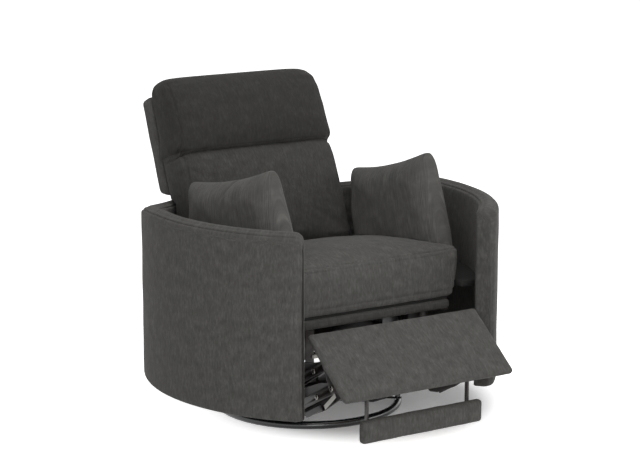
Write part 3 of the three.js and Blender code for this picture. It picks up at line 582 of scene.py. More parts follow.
# The hinge bosses of the mechanism plates are round about the back's own axis: clear at every recline
hingeBoss = {"from": 221, "to": 245, "radius": 20}


def clearOfHinge(piece, c):
    hinge = Vector(pivotPlace("back_recline"))
    for v in piece.data.vertices:
        p = v.co / mm
        away = Vector((0, p.y - hinge.y, p.z - hinge.z))
        if c["from"] < abs(p.x) < c["to"] and away.length < c["radius"]:
            v.co = (Vector((p.x, hinge.y, hinge.z)) + away.normalized() * c["radius"]) * mm
    piece.data.update()


def stood(piece, place):
    # From the piece's own millimetre frame, which its mesh holds in metres, to the chair
    moved(piece, Matrix.Scale(mm, 4) @ place @ Matrix.Scale(1 / mm, 4))


# Soft forms
def cubeSkin(name, counts, shape):
    seen, points, faces = {}, [], []

    def index(*cell):
        if cell not in seen:
            seen[cell] = len(points)
            points.append(shape(*[math.sin((2 * c / n - 1) * math.pi / 2) for c, n in zip(cell, counts)]))
        return seen[cell]

    for axis in range(3):
        u, v = (axis + 1) % 3, (axis + 2) % 3
        for side in (0, counts[axis]):
            for i in range(counts[u]):
                for j in range(counts[v]):
                    quad = []
                    for du, dv in ((0, 0), (1, 0), (1, 1), (0, 1)):
                        cell = [0, 0, 0]
                        cell[axis], cell[u], cell[v] = side, i + du, j + dv
                        quad.append(index(*cell))
                    faces.append(quad if side else quad[::-1])
    return meshPiece(name, points, faces)


def rounded(a, b, c, half, radius):
    p = Vector((a * half[0], b * half[1], c * half[2]))
    core = Vector([clamp(v, radius - h, h - radius) for v, h in zip(p, half)])
    out = p - core
    return core + (out.normalized() * radius if out.length > 0 else out)


clothSizes = {"voxel": 6, "cap": 14, "pressure": 4, "clothMass": 0.1, "frames": 14, "quality": 4}


def inflated(piece, held):
    # A sewn cover swells between its seams; held says how firmly a point of the cover stays where it is
    c = clothSizes
    applied(piece, "REMESH", {"mode": "VOXEL", "voxel_size": c["voxel"] * mm})
    start = [v.co.copy() for v in piece.data.vertices]
    group = piece.vertex_groups.new(name="seams")
    for v in piece.data.vertices:
        group.add([v.index], held(v.co / mm), "REPLACE")
    cloth = piece.modifiers.new("cloth", "CLOTH")
    cloth.settings.quality = c["quality"]
    cloth.settings.mass = c["clothMass"]
    cloth.settings.use_pressure = True
    cloth.settings.uniform_pressure_force = c["pressure"]
    cloth.settings.effector_weights.gravity = 0
    cloth.settings.vertex_group_mass = "seams"
    cloth.point_cache.frame_start = 1
    cloth.point_cache.frame_end = c["frames"]
    for step in range(1, c["frames"] + 1):
        bpy.context.scene.frame_set(step)
    swollen = piece.evaluated_get(bpy.context.evaluated_depsgraph_get()).data
    ends = [v.co.copy() for v in swollen.vertices]
    piece.modifiers.remove(cloth)
    cap = c["cap"] * mm
    for v, a, b in zip(piece.data.vertices, start, ends):
        travel = b - a
        v.co = a + travel * (cap * math.tanh(travel.length / cap) / max(travel.length, 1e-9))
    piece.vertex_groups.clear()
    bpy.context.scene.frame_set(1)
    applied(piece, "SUBSURF", {"levels": 1, "render_levels": 1})


def clearOf(piece, neighbour, gap, deepest):
    # Points of a soft piece that lie in its neighbour move out to its skin
    tree = BVHTree.FromObject(neighbour, bpy.context.evaluated_depsgraph_get())
    for v in piece.data.vertices:
        near, out, index, far = tree.find_nearest(v.co, deepest * mm)
        if near is not None and (v.co - near).dot(out) < gap * mm:
            v.co = near + out * gap * mm
    piece.data.update()


def reshaped(piece, change):
    # change gets a point and its outward direction in the piece's own millimetres, and gives the new point
    normals = [v.normal.copy() for v in piece.data.vertices]
    for v, out in zip(piece.data.vertices, normals):
        v.co = change(v.co / mm, out) * mm
    piece.data.update()


def boxMapped(piece):
    def corner(polygon, co):
        facing = [abs(n) for n in polygon.normal]
        if facing[0] > max(facing[1], facing[2]):
            return (co.y, co.z)
        return (co.x, co.z) if facing[1] > facing[2] else (co.x, co.y)
    clothMap(piece, corner)


# Seat cushion: boxed, crowned, double sewn along the top and bottom edges of its boxing
seatCushion = {
    "half": (262, 227.5, 61), "round": 17, "crown": 31, "draw": 5, "start": 3, "boxingBulge": 9,
    "frontSag": 23, "sagReach": 14, "flare": 24, "deckSide": 264.5, "deckUp": 40,
    "topSeam": 112, "topStitch": 101, "bottomStitch": 32, "bottomSeam": 19,
    "seamDeep": 2.6, "stitchDeep": 1.3, "seamWide": 2.4,
    "hold": 8,
}


def makeSeatCushion(c):
    half = [h - c["start"] for h in c["half"]]

    def shape(a, b, k):
        p = rounded(a, b, k, half, c["round"] - c["start"])
        level = (k + 1) / 2
        belly = math.cos(k * math.pi / 2) * c["boxingBulge"]
        p.z += c["crown"] * level * (1 - a * a) * (1 - b * b) * (1 - b / 2)
        p.x *= 1 + (belly - c["draw"] * (1 - b * b) * level + c["flare"] * (level - 0.4)) / half[0]
        p.y *= 1 + (belly * (1 - a ** 4)) / half[1]
        return p + Vector((0, c["half"][1], c["half"][2]))

    piece = cubeSkin("seatCushionCover", (44, 40, 12), shape)

    def toEdge(p):
        return min(c["half"][1] - abs(p.y - c["half"][1]), c["half"][0] - abs(p.x))

    def held(p):
        if p.z < 5:
            return 1.0
        near = min(abs(p.z - c["topSeam"]), abs(p.z - c["bottomSeam"]))
        return clamp(1.1 - near / c["hold"], 0, 1) if toEdge(p) < 20 else 0.0

    inflated(piece, held)

    def sewn(p, out):
        side = clamp((22 - toEdge(p)) / 6, 0, 1)
        seams = [bell(p.z - c[seam], c["seamWide"]) for seam in ("topSeam", "bottomSeam")]
        deep = c["seamDeep"] * (seams[0] + seams[1])
        deep += c["stitchDeep"] * (bell(p.z - c["topStitch"], 1.7) + bell(p.z - c["bottomStitch"], 1.7))
        soft = noise.noise(p / 75) * 2.2 + noise.noise(p / 26) * 0.7
        p = p + out * (soft * clamp(p.z / 40, 0, 1) - deep * side)
        ahead = ease((c["sagReach"] - p.y) / 9)
        p.z = max(p.z, 1.6) - c["frontSag"] * ahead * clamp((50 - p.z) / 42, 0, 1)
        beside = c["deckSide"] + 40 * ease((p.z - c["deckUp"] - 0.105 * p.y) / 40)  # clear of the decks
        p.x = clamp(p.x, -beside, beside)
        return p

    reshaped(piece, sewn)
    smooth(piece)
    boxMapped(piece)
    stood(piece, seatPlace)
    dress(piece, coverCloth, "seat", "chenille", "seat_cushion")
    return piece


seatCushionCover = makeSeatCushion(seatCushion)
print("seat cushion made")


# Back and head cushions: one cover that wraps round the frame's sides, tied down across the front
# at the crease, so that the head roll hangs over the back cushion
backCover = {
    "half": 262, "inner": 236.3, "rear": 12.3, "wrap": 11.8, "wrapFrom": 34, "frameTop": 471,
    "top": 528, "topRound": 44, "taper": 7, "boxy": 5.5, "crease": 303,
    "front": [(0, 92), (20, 106), (80, 116), (170, 119), (250, 116), (284, 108), (303, 90), (311, 112),
              (324, 121), (352, 124), (400, 121), (450, 112), (488, 97), (512, 74), (522, 54), (528, 34)],
    "creaseDeep": 15, "creaseWide": 3.6, "hang": 9, "flare": 8, "flareReach": 26,
    "seamIn": 16, "seamDeep": 3.4, "seamWide": 3.4,
    "gathers": 7, "gatherDeep": 1.5, "gatherReach": 30, "sideFall": 16,
}


def tableAt(table, at):
    for (a, low), (b, high) in zip(table, table[1:]):
        if at <= b:
            return lerp(low, high, ease((at - a) / (b - a)))
    return table[-1][1]


def backHalfWidth(c, up):
    over = clamp(up - (c["top"] - c["topRound"]), 0, c["topRound"])
    flare = c["flare"] * bell(up - c["crease"] - 8, c["flareReach"]) if up > c["crease"] + 1 else 0
    taper = c["taper"] * clamp(up / c["top"], 0, 1)
    return c["half"] + flare - taper - c["topRound"] + math.sqrt(c["topRound"] ** 2 - over ** 2)


def backRing(c, up):
    w = backHalfWidth(c, up)
    over = clamp(up - (c["top"] - 14), 0, 14)
    tuck = 14 - math.sqrt(14 ** 2 - over ** 2)
    wrap = lerp(-c["rear"], c["wrap"], ease((up - c["wrapFrom"]) / 10)) - tuck
    rear = wrap if up > c["frameTop"] else -c["rear"]
    inner = min(c["inner"], w - 9)
    base, reach, n = wrap - 5, tableAt(c["front"], up), c["boxy"]
    half = []
    for angle in steps(math.pi / 2, 0, 26):
        co, si = max(math.cos(angle), 0), max(math.sin(angle), 0)
        k = (co ** n + si ** n) ** (-1 / n)
        half.append((w * co * k, base - (reach + base) * si * k))
    half += [(w - 1.5, wrap - 1.8), (w - 5, wrap), (inner, wrap), (inner, rear)]
    half += [(inner * 0.5, rear), (0, rear)]
    return [Vector((x, y, up)) for x, y in half] + [Vector((-x, y, up)) for x, y in half[-2:0:-1]]


def makeBackCover(c):
    levels = [c["top"] * (1 - math.cos(t)) / 2 for t in steps(0, math.pi, 60)]
    levels = sorted(set(levels + [297, 303, 307, 311, c["frameTop"] - 0.1, c["frameTop"] + 0.1]))
    rings = [backRing(c, up) for up in levels]
    count = len(rings[0])
    last = count * (len(rings) - 1)
    faces = ladder(rings) + [tuple(range(count))[::-1], tuple(range(last, last + count))]
    piece = meshPiece("backCover", [p for ring in rings for p in ring], faces)
    outwards(piece)

    def seamAway(p):
        return abs(p.x) - (backHalfWidth(c, p.z) - c["seamIn"])

    def isFront(p):
        return clamp((-p.y - 52) / 16, 0, 1)

    def held(p):
        if p.y > -c["rear"] - 4 and abs(p.x) < c["inner"] + 5:
            return 1.0
        firm = 0.85 * clamp(1.2 - abs(seamAway(p)) / 7, 0, 1) * isFront(p)
        return max(firm, clamp(1.3 - abs(p.z - c["crease"]) / 7, 0, 1) * isFront(p))

    inflated(piece, held)

    def sewn(p, out):
        front = isFront(p)
        round = ease((abs(p.x) - (c["half"] - 40)) / 34)
        middle = 1 - 0.6 * round
        away = p.z - c["crease"] + c["sideFall"] * round * clamp((p.y + 112) / 60, 0, 1)
        deep = c["seamDeep"] * bell(seamAway(p), c["seamWide"]) * front
        reach = Vector((seamAway(p) - 4, away - 3))
        fold = math.cos(math.atan2(reach.y, -reach.x) * c["gathers"]) * c["gatherDeep"] * front
        fold *= bell(reach.length, c["gatherReach"]) * clamp(reach.length / 14, 0, 1)
        soft = noise.noise(p / 85) * 2.6 + noise.noise(p / 30) * 0.9
        p = p + out * (soft * front + fold - deep)
        p.y += c["creaseDeep"] * bell(away, c["creaseWide"]) * front * middle
        p.x -= math.copysign(5, p.x) * bell(away, c["creaseWide"]) * round * clamp((-p.y - 6) / 20, 0, 1)
        if away > 0:
            p.z -= c["hang"] * bell(away - 6, 14) * front * middle
        inside = abs(p.x) < c["inner"] and p.z < c["frameTop"]
        p.y = min(p.y, -c["rear"] if inside else c["wrap"])
        return p

    reshaped(piece, sewn)
    smooth(piece)
    boxMapped(piece)
    # The back cushion takes the darker copy of the cloth and faces above the crease the darkest: painted shade,
    # deeper on the head roll
    for polygon in piece.data.polygons:
        polygon.material_index = 1 if polygon.center.z > (c["crease"] - 1) * mm else 0
    headShadeIndices = [polygon.material_index for polygon in piece.data.polygons]
    stood(piece, backPlace)
    keptInside(piece, 5)
    clearOfHinge(piece, hingeBoss)
    dress(piece, shadedCoverCloth, "back", "chenille", "back_cushion", "head_cushion")
    piece.data.materials.append(headShadeCloth)
    piece.data.polygons.foreach_set("material_index", headShadeIndices)
    return piece


backPadCover = makeBackCover(backCover)
print("back cover made")


# Loose pillows: knife-edged, sewn all round, slumped on the seat cushion and the deck
pillows = {
    "pillowRightCover": {"side": 289.9, "forward": 22, "up": 513, "slope": 15, "yaw": 0, "pinch": 0,
                         "narrow": 0.1, "node": "pillow_right"},
    "pillowLeftCover": {"side": -267.9, "forward": 86, "up": 531, "slope": 13, "yaw": 7, "pinch": 9,
                        "narrow": 0.14, "node": "pillow_left"},
}
pillowSizes = {
    "long": 436, "tall": 312, "thick": 128, "edge": 8, "ear": 15, "corner": 24, "floor": 398,
}


def makePillow(name, c, s):
    def shape(a, b, k):
        corner = Vector((a * s["long"] / 2, b * s["tall"] / 2, 0))
        core = Vector((clamp(corner.x, s["corner"] - s["long"] / 2, s["long"] / 2 - s["corner"]),
                       clamp(corner.y, s["corner"] - s["tall"] / 2, s["tall"] / 2 - s["corner"]), 0))
        out = corner - core
        if abs(out.x) > 0 and abs(out.y) > 0:
            corner = core + out.normalized() * max(abs(out.x), abs(out.y))
        full = max(0, (1 - a ** 4) * (1 - b ** 4)) ** 0.5
        x = corner.x - a * s["ear"] * (1 - b * b)
        y = corner.y - b * s["ear"] * (1 - a * a)
        return Vector((x, y, k * (s["edge"] / 2 + (s["thick"] - s["edge"]) / 2 * full)))

    piece = cubeSkin(name, (52, 38, 4), shape)

    def near(p):
        return min(s["long"] / 2 - abs(p.x), s["tall"] / 2 - abs(p.y))

    inflated(piece, lambda p: clamp(1.2 - (near(p) - s["ear"] * 0.6) / 10, 0, 1))

    def creased(p, out):
        soft = noise.noise(p / 95) * 7 + noise.noise(p / 38) * 1.6
        fold = c["pinch"] * bell((p.x - 58 + (s["tall"] / 2 - p.y) * 0.7), 7) * clamp((p.y - 90) / 50, 0, 1)
        p = p + out * (soft * clamp((near(p) - 10) / 50, 0, 1) - fold)
        p.x *= 1 - c["narrow"] * ease((p.y + 60) / 210)  # slumped: its weight lies low
        return p

    reshaped(piece, creased)
    clothMap(piece, lambda polygon, co: (co.x, co.y))
    stand = Matrix(((0, 0, -1, 0), (-1, 0, 0, 0), (0, 1, 0, 0), (0, 0, 0, 1)))
    turn = Matrix.Rotation(math.radians(c["yaw"]), 4, "Z")
    turn = turn @ Matrix.Rotation(math.radians(-c["slope"]), 4, "X")
    stood(piece, Matrix.Translation((c["side"], axisBack - c["forward"], c["up"])) @ turn @ stand)
    clearOf(piece, seatCushionCover, 1.0, 90)
    clearOf(piece, backPadCover, 1.0, 60)
    clearOf(piece, barrelCover, 1.0, 40)
    for v in piece.data.vertices:
        v.co.z = max(v.co.z, s["floor"] * mm)
    piece.data.update()
    smooth(piece)
    dress(piece, pillowCloth, "seat", "chenille", c["node"])


for name, sizes in pillows.items():
    makePillow(name, sizes, pillowSizes)
print("pillows made")


# Footrest board and flap: thin pads pulled tight over a board
flatPads = {
    "boardCover": {"half": (265.9, 111), "thick": 24, "round": 10, "crown": 5, "counts": (90, 40, 8),
                   "centre": (0, -111, -12), "place": boardPlace, "body": "board", "node": "footrest_pad"},
    "flapCover": {"half": (190, 30), "thick": 27, "round": 10, "crown": 3, "counts": (60, 14, 8),
                  "centre": (0, -106, 20.4), "place": flapPlace, "body": "flap", "node": "flap_pad"},
}


def makeFlatPad(name, c):
    half = (c["half"][0], c["half"][1], c["thick"] / 2)

    def shape(a, b, k):
        p = rounded(a, b, k, half, c["round"])
        p.z += c["crown"] * (k + 1) / 2 * ((1 - a ** 4) * (1 - b ** 4) - 1)
        return p + Vector(c["centre"])

    piece = cubeSkin(name, c["counts"], shape)

    def uneven(p, out):
        return p + out * (noise.noise(p / 45) * 0.8 + noise.noise(p / 16) * 0.3)

    reshaped(piece, uneven)
    applied(piece, "SUBSURF", {"levels": 1, "render_levels": 1})
    smooth(piece)
    boxMapped(piece)
    stood(piece, c["place"])
    dress(piece, coverCloth, c["body"], "chenille", c["node"])


for name, sizes in flatPads.items():
    makeFlatPad(name, sizes)
print("footrest pads made")


# Rear outer panel: a firm slab with rolled edges
rearPanel = {"half": 261.9, "front": 12.3, "back": 65, "bottom": 215.5, "top": 491, "round": 16,
             "slant": 0.33}


def makeRearPanel(c):
    half = (c["half"], (c["back"] - c["front"]) / 2, (c["top"] - c["bottom"]) / 2)
    middle = Vector((0, (c["back"] + c["front"]) / 2, (c["top"] + c["bottom"]) / 2))

    def shape(a, b, k):
        return rounded(a, b, k, half, c["round"]) + middle

    piece = cubeSkin("rearPanelCover", (60, 10, 34), shape)

    def uneven(p, out):
        seam = 2 * bell(half[0] - 3 - abs(p.x) - 6, 2.2) * clamp((p.y - 30) / 10, 0, 1)
        p = p + out * (noise.noise(p / 70) * 1.4 - seam)
        low = 1 - ease((p.z - c["bottom"]) / 60)
        p.z -= c["slant"] * (c["back"] - p.y) * low  # the foot lies level above the rim
        return p

    reshaped(piece, uneven)
    applied(piece, "SUBSURF", {"levels": 1, "render_levels": 1})
    smooth(piece)
    boxMapped(piece)
    stood(piece, backPlace)
    dress(piece, coverCloth, "back", "chenille", "back_panel")


makeRearPanel(rearPanel)
print("rear panel made")


# Front rail of the seat, covered: a padded lip below a recess
frontRail = {"half": 232, "back": 48, "face": 14, "top": 7, "lipTop": 22, "lipBottom": 46, "lipRound": 9,
             "endRound": 5}


def makeFrontRail(c):
    r = c["lipRound"]
    profile = [(c["back"], -c["lipBottom"]), (c["back"] * 0.5, -c["lipBottom"])]
    for up, start, end in ((-c["lipBottom"] + r, -math.pi / 2, 0), (-c["lipTop"] - r, 0, math.pi / 2)):
        profile += [(r - r * math.cos(a), up + r * math.sin(a)) for a in steps(start, end, 8)]
    profile += [(c["face"], -c["lipTop"]), (c["face"], -c["top"]), (c["back"], -c["top"])]
    middle = Vector((0, 30, -27))
    ends = [(-c["half"] + c["endRound"] * (1 - math.cos(a)), c["endRound"] * (1 - math.sin(a)))
            for a in steps(0, math.pi / 2, 5)]
    places = ends + [(x, 0) for x in steps(-c["half"] + 10, c["half"] - 10, 70)]
    places += [(-x, cut) for x, cut in ends[::-1]]
    rings = []
    for x, cut in places:
        ring = []
        for y, z in profile:
            p = Vector((x, y, z))
            inward = Vector((0, middle.y - y, middle.z - z)).normalized()
            soft = noise.noise(p / 34) * 1.1 * clamp((c["face"] - y) / 8, 0, 1)
            ring.append(p + inward * (cut + max(soft, -0.4)))
        rings.append(ring)
    count = len(profile)
    last = count * (len(rings) - 1)
    faces = ladder(rings) + [tuple(range(count))[::-1], tuple(range(last, last + count))]
    piece = meshPiece("frontRailCover", [p for ring in rings for p in ring], faces)
    outwards(piece)
    smooth(piece, 50)
    boxMapped(piece)
    stood(piece, seatPlace)
    # The rail takes the darker copy of the cloth: painted shade
    dress(piece, shadedCoverCloth, "seat", "chenille", "seat_front_rail")


makeFrontRail(frontRail)


# Black cloth stretched over the springs and turned down in front of them
deckSheet = {"half": 229, "front": 12.6, "rear": 440, "up": 0.5, "drop": 21.4, "thick": 0.8}


def makeDeckSheet(c):
    side = [(c["front"], z) for z in steps(-c["drop"], c["up"] - 2, 5)] + [(c["front"] + 0.6, c["up"] - 0.6)]
    side += [(y, c["up"]) for y in steps(c["front"] + 2, c["rear"], 24)]
    across = steps(-c["half"], c["half"], 16)
    points = [Vector((x, y, z)) for y, z in side for x in across]
    n = len(across)
    faces = [(i * n + j, i * n + j + 1, (i + 1) * n + j + 1, (i + 1) * n + j)
             for i in range(len(side) - 1) for j in range(n - 1)]
    piece = meshPiece("seatDeckSheet", points, faces)
    applied(piece, "SOLIDIFY", {"thickness": c["thick"] * mm, "offset": 1})
    smooth(piece, 40)
    stood(piece, seatPlace)
    dress(piece, deckCloth, "seat", "deck_cloth")


makeDeckSheet(deckSheet)


# Side decks: felt-covered boards from the seat to the inside of the arms
sideDecks = {"inner": 266.1, "front": -296, "rear": 149, "bottom": 368.2, "top": 386, "wallGap": 0.7,
             "edge": 5}


def makeSideDeck(name, hand, c):
    rim = [(innerHalf(y) - c["wallGap"], y) for y in steps(c["front"], c["rear"], 26)]
    points, faces = [], []
    for x, y in rim:
        for z in (c["bottom"], c["top"]):
            points += [Vector((hand * c["inner"], y, z)), Vector((hand * x, y, z))]
    for i in range(len(rim) - 1):
        a, b = 4 * i, 4 * i + 4
        for j, k in ((0, 1), (1, 3), (3, 2), (2, 0)):
            faces.append((a + j, a + k, b + k, b + j))
    last = 4 * (len(rim) - 1)
    faces += [(0, 2, 3, 1), (last, last + 1, last + 3, last + 2)]
    piece = meshPiece(name, points, faces)
    outwards(piece)
    bevelled(piece, c["edge"], 3, math.radians(50))
    smooth(piece, 40)
    dress(piece, deckCloth, "carriage", "deck_cloth", "side_deck_right" if hand > 0 else "side_deck_left")


makeSideDeck("sideDeckRightCover", 1, sideDecks)
makeSideDeck("sideDeckLeftCover", -1, sideDecks)


# Tuck cloth behind the back frame, from the foot of the rear panel down into the barrel
tuckCloth = {"half": 248, "top": (50, 205), "bottom": (17, 96), "thick": 0.9, "sag": 5, "gap": 6,
             "rows": 14}


def makeTuckCloth(c):
    (y0, z0), (y1, z1) = c["bottom"], c["top"]
    across = steps(-1, 1, 20)
    points, widths = [], []
    for t in steps(0, 1, c["rows"]):
        y, z = lerp(y0, y1, t), lerp(z0, z1, t)
        stand = backPlace @ Vector((0, y, z))
        widths.append(min(c["half"], max(leastRoom, roomInside(stand.y, stand.z, c["gap"]))))
        for share in across:
            x = share * widths[-1]
            wave = c["sag"] * math.sin(math.pi * t) + noise.noise(Vector((x, t * 90, 0)) / 50) * 1.5
            points.append(Vector((x, y - wave, z)))
    n = len(across)
    faces = [(i * n + j, i * n + j + 1, (i + 1) * n + j + 1, (i + 1) * n + j)
             for i in range(c["rows"]) for j in range(n - 1)]
    piece = meshPiece("backTuckCloth", points, faces)
    applied(piece, "SOLIDIFY", {"thickness": c["thick"] * mm, "offset": 0})
    smooth(piece)
    boxMapped(piece)
    stood(piece, backPlace)
    # The tuck cloth takes the darker copy of the cloth: painted shade
    dress(piece, shadedCoverCloth, "back", "chenille")
    drop = math.hypot(y1 - y0, z1 - z0)
    flatArea = sum(a + b for a, b in zip(widths, widths[1:])) * drop / c["rows"] * mm * mm
    2 * max(widths) * mm
    print("tuck cloth:", [round(w) for w in widths], "flat area", round(flatArea, 4))


makeTuckCloth(tuckCloth)
print("front rail, decks and tuck cloth made")


# Rivet heads on the outer faces of the linkage plates
roundLimit = 0.8  # radians: only the rims of a round piece
rivets = {"radius": 7.5, "high": 2.8, "dome": 2.3, "steps": 24}
rivetPlaces = [  # y, z, face of the plate and the body that carries it
    (-120.135, 300, 239.8, "seat"), (-45.365, 259.572, 239.8, "seat"),
    (-205.635, 151.91, 233.8, "front_links"), (-238.135, 95.618, 233.8, "front_links"),
    (-130.865, 111.482, 233.8, "rear_links"),
    (-385.963, 249.413, 233.8, "board"), (-418.463, 193.121, 233.8, "board"),
    (-325, 216.5, 227.8, "inner_links"), (-340, 150.7, 227.8, "outer_links"),
]


def makeRivet(c):
    bpy.ops.mesh.primitive_cylinder_add(vertices=c["steps"], radius=c["radius"] * mm, depth=c["high"] * mm,
                                        location=(0, 0, c["high"] * mm / 2))
    piece = bpy.context.object
    bpy.ops.object.transform_apply(location=True, rotation=True, scale=True)
    bevelled(piece, c["dome"], 4, roundLimit)
    smooth(piece, 60)
    return piece


def copied(piece, name, matrix):
    twin = piece.copy()
    twin.data = piece.data.copy()
    twin.name = name
    bpy.context.scene.collection.objects.link(twin)
    moved(twin, matrix)
    return twin


def makeRivets():
    first = makeRivet(rivets)
    for number, (y, z, face, body) in enumerate(rivetPlaces):
        for hand, side in ((1, "Right"), (-1, "Left")):
            turn = Matrix.Rotation(hand * math.pi / 2, 4, "Y")
            place = Matrix.Translation(Vector((hand * face, y, z)) * mm) @ turn
            head = copied(first, "rivetHead%s%d" % (side, number + 1), place)
            dress(head, rivetSteel, body, "plated_steel")
    bpy.data.objects.remove(first)


makeRivets()


# Stamped webs beside the carrying links, with a raised lip, and a spacer at the lower pivot
webs = {
    "linkWebUpper": {
        "body": "inner_links", "face": 218.5, "from": (-205.635, 151.91), "to": (-385.963, 249.413),
        "outline": [(-46, -16), (-34, 30), (30, 52), (86, 36), (140, 20), (188, 12), (190, -12), (20, -22)]},
    "linkWebLower": {
        "body": "outer_links", "face": 209.5, "from": (-238.135, 95.618), "to": (-418.463, 193.121),
        "outline": [(-20, -18), (-16, 24), (40, 42), (120, 34), (190, 16), (218, -8), (212, -29), (107, -38),
                    (20, -32)]},
}
webSizes = {"thick": 2.4, "round": 8, "bevel": 0.7, "lip": 2.5, "lipWide": 4, "spacer": 9,
            "spacerBevel": 0.6, "pin": 220.3}
guard = {"along": 62, "down": -27, "size": (7, 84, 17), "bevel": 2.5, "face": 214.6}
tag = {"from": (113, -31), "to": (182, -15), "wide": 12, "curl": 2.2, "thick": 0.5, "face": 211.9}


def linkFrame(c, hand):
    # Along the link, across it and outwards, from its lower pivot, in metres
    along = Vector((0, c["to"][0] - c["from"][0], c["to"][1] - c["from"][1])).normalized()
    over = Vector((0, along.z, -along.y))
    frameOf = Matrix((Vector((hand, 0, 0)), along, over)).transposed().to_4x4()
    return Matrix.Translation(Vector((0, c["from"][0], c["from"][1])) * mm) @ frameOf


def makeWeb(name, hand, c, s):
    corners = [Vector((c["face"], u, v)) for u, v in c["outline"]]
    piece = meshPiece(name, corners, [tuple(range(len(corners)))])
    only(piece)
    bpy.ops.object.mode_set(mode="EDIT")
    bpy.ops.mesh.select_all(action="SELECT")
    bpy.ops.mesh.bevel(offset=s["round"] * mm, segments=5, affect="VERTICES")
    bpy.ops.mesh.select_all(action="SELECT")
    bpy.ops.mesh.inset(thickness=s["lipWide"] * mm)
    bpy.ops.transform.translate(value=(-s["lip"] * mm, 0, 0))
    bpy.ops.object.mode_set(mode="OBJECT")
    applied(piece, "SOLIDIFY", {"thickness": s["thick"] * mm, "offset": 0})
    bevelled(piece, s["bevel"], 2, math.radians(40))
    reach = s["pin"] - c["face"]
    bpy.ops.mesh.primitive_cylinder_add(vertices=28, radius=s["spacer"] * mm, depth=reach * mm,
                                        rotation=(0, math.pi / 2, 0),
                                        location=((c["face"] + reach / 2) * mm, 0, 0))
    bpy.ops.object.transform_apply(location=True, rotation=True, scale=True)
    spacer = bpy.context.object
    bevelled(spacer, s["spacerBevel"], 2, roundLimit)
    only(piece)
    spacer.select_set(True)
    bpy.ops.object.join()
    moved(piece, linkFrame(c, hand))
    outwards(piece)
    smooth(piece, 40)
    dress(piece, stripPaint, c["body"], "mechanism_steel")


def block(name, size, bevel):
    bpy.ops.mesh.primitive_cube_add(size=1, location=(0, 0, 0))
    piece = bpy.context.object
    piece.name = name
    moved(piece, Matrix.Diagonal([side * mm for side in size] + [1]))
    applied(piece, "BEVEL", {"width": bevel * mm, "segments": 3})
    return piece


def makeGuard(name, hand, c, web):
    piece = block(name, c["size"], c["bevel"])
    place = Matrix.Translation(Vector((c["face"], c["along"], c["down"])) * mm)
    moved(piece, linkFrame(web, hand) @ place)
    outwards(piece)
    smooth(piece, 40)
    dress(piece, blackPlastic, web["body"], "mechanism_steel")


def makeTag(c, web):
    start, end = Vector(c["from"]), Vector(c["to"])
    along = (end - start).normalized()
    across = Vector((-along.y, along.x))
    points, columns = [], steps(0, 1, 14)
    for t in columns:
        for side in steps(-c["wide"] / 2, c["wide"] / 2, 4):
            place = start.lerp(end, t) + across * side
            points.append(Vector((c["face"] + c["curl"] * t ** 3, place.x, place.y)))
    faces = [(i * 5 + j, i * 5 + j + 1, i * 5 + j + 6, i * 5 + j + 5)
             for i in range(len(columns) - 1) for j in range(4)]
    piece = meshPiece("blankTag", points, faces)
    applied(piece, "SOLIDIFY", {"thickness": c["thick"] * mm, "offset": 1})
    moved(piece, linkFrame(web, -1))
    outwards(piece)
    smooth(piece, 40)
    dress(piece, card, web["body"], "mechanism_steel")


for name, sizes in webs.items():
    makeWeb(name + "Right", 1, sizes, webSizes)
    makeWeb(name + "Left", -1, sizes, webSizes)
makeGuard("linkGuardRight", 1, guard, webs["linkWebLower"])
makeGuard("linkGuardLeft", -1, guard, webs["linkWebLower"])
makeTag(tag, webs["linkWebLower"])


# Stop brackets behind the front rail: bent strip steel with a moulded bumper just behind the closed board
stopBracket = {"side": 170, "thick": 3, "front": -237.3, "rear": -184, "low": 207, "high": 349, "ear": 27,
               "bevel": 0.8, "bumper": (20, 10, 10), "bumperAt": (167, -235.8, 226)}


def makeStopBracket(hand, side, c):
    x, outer, t = c["side"], c["side"] + c["ear"], c["thick"]
    plan = [(x, c["rear"]), (x, c["front"]), (outer, c["front"]), (outer, c["front"] + t),
            (x + t, c["front"] + t), (x + t, c["rear"])]
    corners = [Vector((hand * px, py, c["low"])) for px, py in plan]
    piece = meshPiece("stopBracket" + side, corners, [tuple(range(6))])
    only(piece)
    bpy.ops.object.mode_set(mode="EDIT")
    bpy.ops.mesh.select_all(action="SELECT")
    bpy.ops.mesh.extrude_region_move(TRANSFORM_OT_translate={"value": (0, 0, (c["high"] - c["low"]) * mm)})
    bpy.ops.object.mode_set(mode="OBJECT")
    outwards(piece)
    bevelled(piece, c["bevel"], 2, math.radians(40))
    smooth(piece, 40)
    dress(piece, stripPaint, "seat", "mechanism_steel")
    bumper = block("stopBumper" + side, c["bumper"], 2)
    bx, by, bz = c["bumperAt"]
    moved(bumper, Matrix.Translation(Vector((hand * bx, by, bz)) * mm))
    smooth(bumper, 40)
    dress(bumper, nylon, "seat", "mechanism_steel")


makeStopBracket(1, "Right", stopBracket)
makeStopBracket(-1, "Left", stopBracket)
print("linkage fittings made")


# Floor and light
# The floor glows white for camera and glossy rays, less within a ring round a point by the chair: a painted shadow
# under and beside it
stageSizes = {"floorHalf": 12000, "floorShade": "#f4f4f4", "paintedShadowGlow": 0.13, "farGlow": 0.95,
              "paintedShadowInner": 290, "paintedShadowOuter": 470, "centre": (150, 10, 0)}


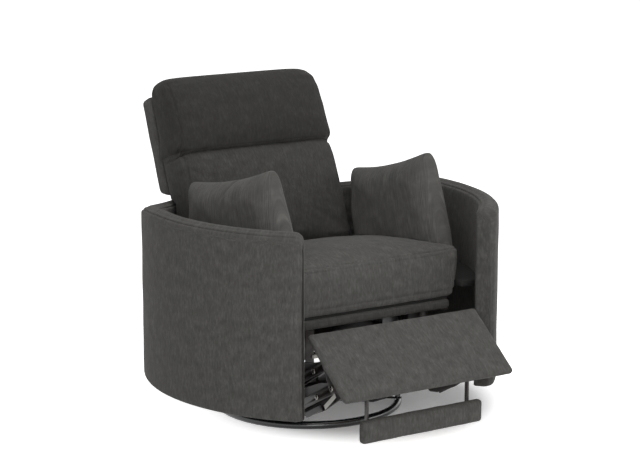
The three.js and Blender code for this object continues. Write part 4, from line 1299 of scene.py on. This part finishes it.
def makeStage(s):
    bpy.ops.mesh.primitive_plane_add(size=2 * s["floorHalf"] * mm, location=(0, 0, 0))
    floor = bpy.context.object
    floor.name = "floor"
    material, tree, surface = startMaterial("matteFloor", {
        "Roughness": 0.9, "Specular IOR Level": 0.1, "Base Color": linear(s["floorShade"])})
    path = node(tree, "ShaderNodeLightPath")
    seen = node(tree, "ShaderNodeMath", {"operation": "MAXIMUM"},
                {0: path.outputs["Is Camera Ray"], 1: path.outputs["Is Glossy Ray"]})
    # Painted shadow: the glow rises from low to full with distance from the centre
    coords = node(tree, "ShaderNodeTexCoord").outputs["Object"]
    away = node(tree, "ShaderNodeVectorMath", {"operation": "DISTANCE", 1: [v * mm for v in s["centre"]]},
                {0: coords}).outputs["Value"]
    paintedShadowRamp = node(tree, "ShaderNodeMapRange", {
        "interpolation_type": "SMOOTHSTEP", "From Min": s["paintedShadowInner"] * mm, "From Max": s["paintedShadowOuter"] * mm,
        "To Min": s["paintedShadowGlow"], "To Max": s["farGlow"]}, {"Value": away})
    glow = node(tree, "ShaderNodeMath", {"operation": "MULTIPLY"},
                {0: seen.outputs[0], 1: paintedShadowRamp.outputs["Result"]})
    tree.links.new(glow.outputs[0], surface.inputs["Emission Strength"])
    surface.inputs["Emission Color"].default_value = (1, 1, 1, 1)
    floor.data.materials.append(material)
    floor.select_set(False)


def areaLamp(name, place, target, size, power):
    data = bpy.data.lights.new(name, "AREA")
    data.shape = "RECTANGLE"
    data.size, data.size_y = size[0] * mm, size[1] * mm
    data.energy = power
    lamp = bpy.data.objects.new(name, data)
    bpy.context.scene.collection.objects.link(lamp)
    aimed(lamp, Vector(place) * mm, Vector(target) * mm)


def makeLight():
    areaLamp("overheadBox", (-600, -900, 3300), (0, 0, 400), (3200, 3200), 64)
    areaLamp("frontBox", (-1500, -4300, 1700), (0, 0, 450), (2600, 2200), 76)
    areaLamp("rightBox", (3600, -2300, 1500), (0, 0, 500), (2000, 2000), 40)
    world = bpy.data.worlds.new("studio")
    bpy.context.scene.world = world
    world.use_nodes = True
    tree = world.node_tree
    path = node(tree, "ShaderNodeLightPath")
    seen = node(tree, "ShaderNodeMath", {"operation": "MAXIMUM"},
                {0: path.outputs["Is Camera Ray"], 1: path.outputs["Is Glossy Ray"]})
    strength = node(tree, "ShaderNodeMapRange", {"To Min": 0.34, "To Max": 1.0}, {"Value": seen.outputs[0]})
    tree.links.new(strength.outputs["Result"], tree.nodes["Background"].inputs["Strength"])
    tree.nodes["Background"].inputs["Color"].default_value = (1, 1, 1, 1)
    bpy.context.scene.view_settings.view_transform = "Standard"


makeStage(stageSizes)
makeLight()
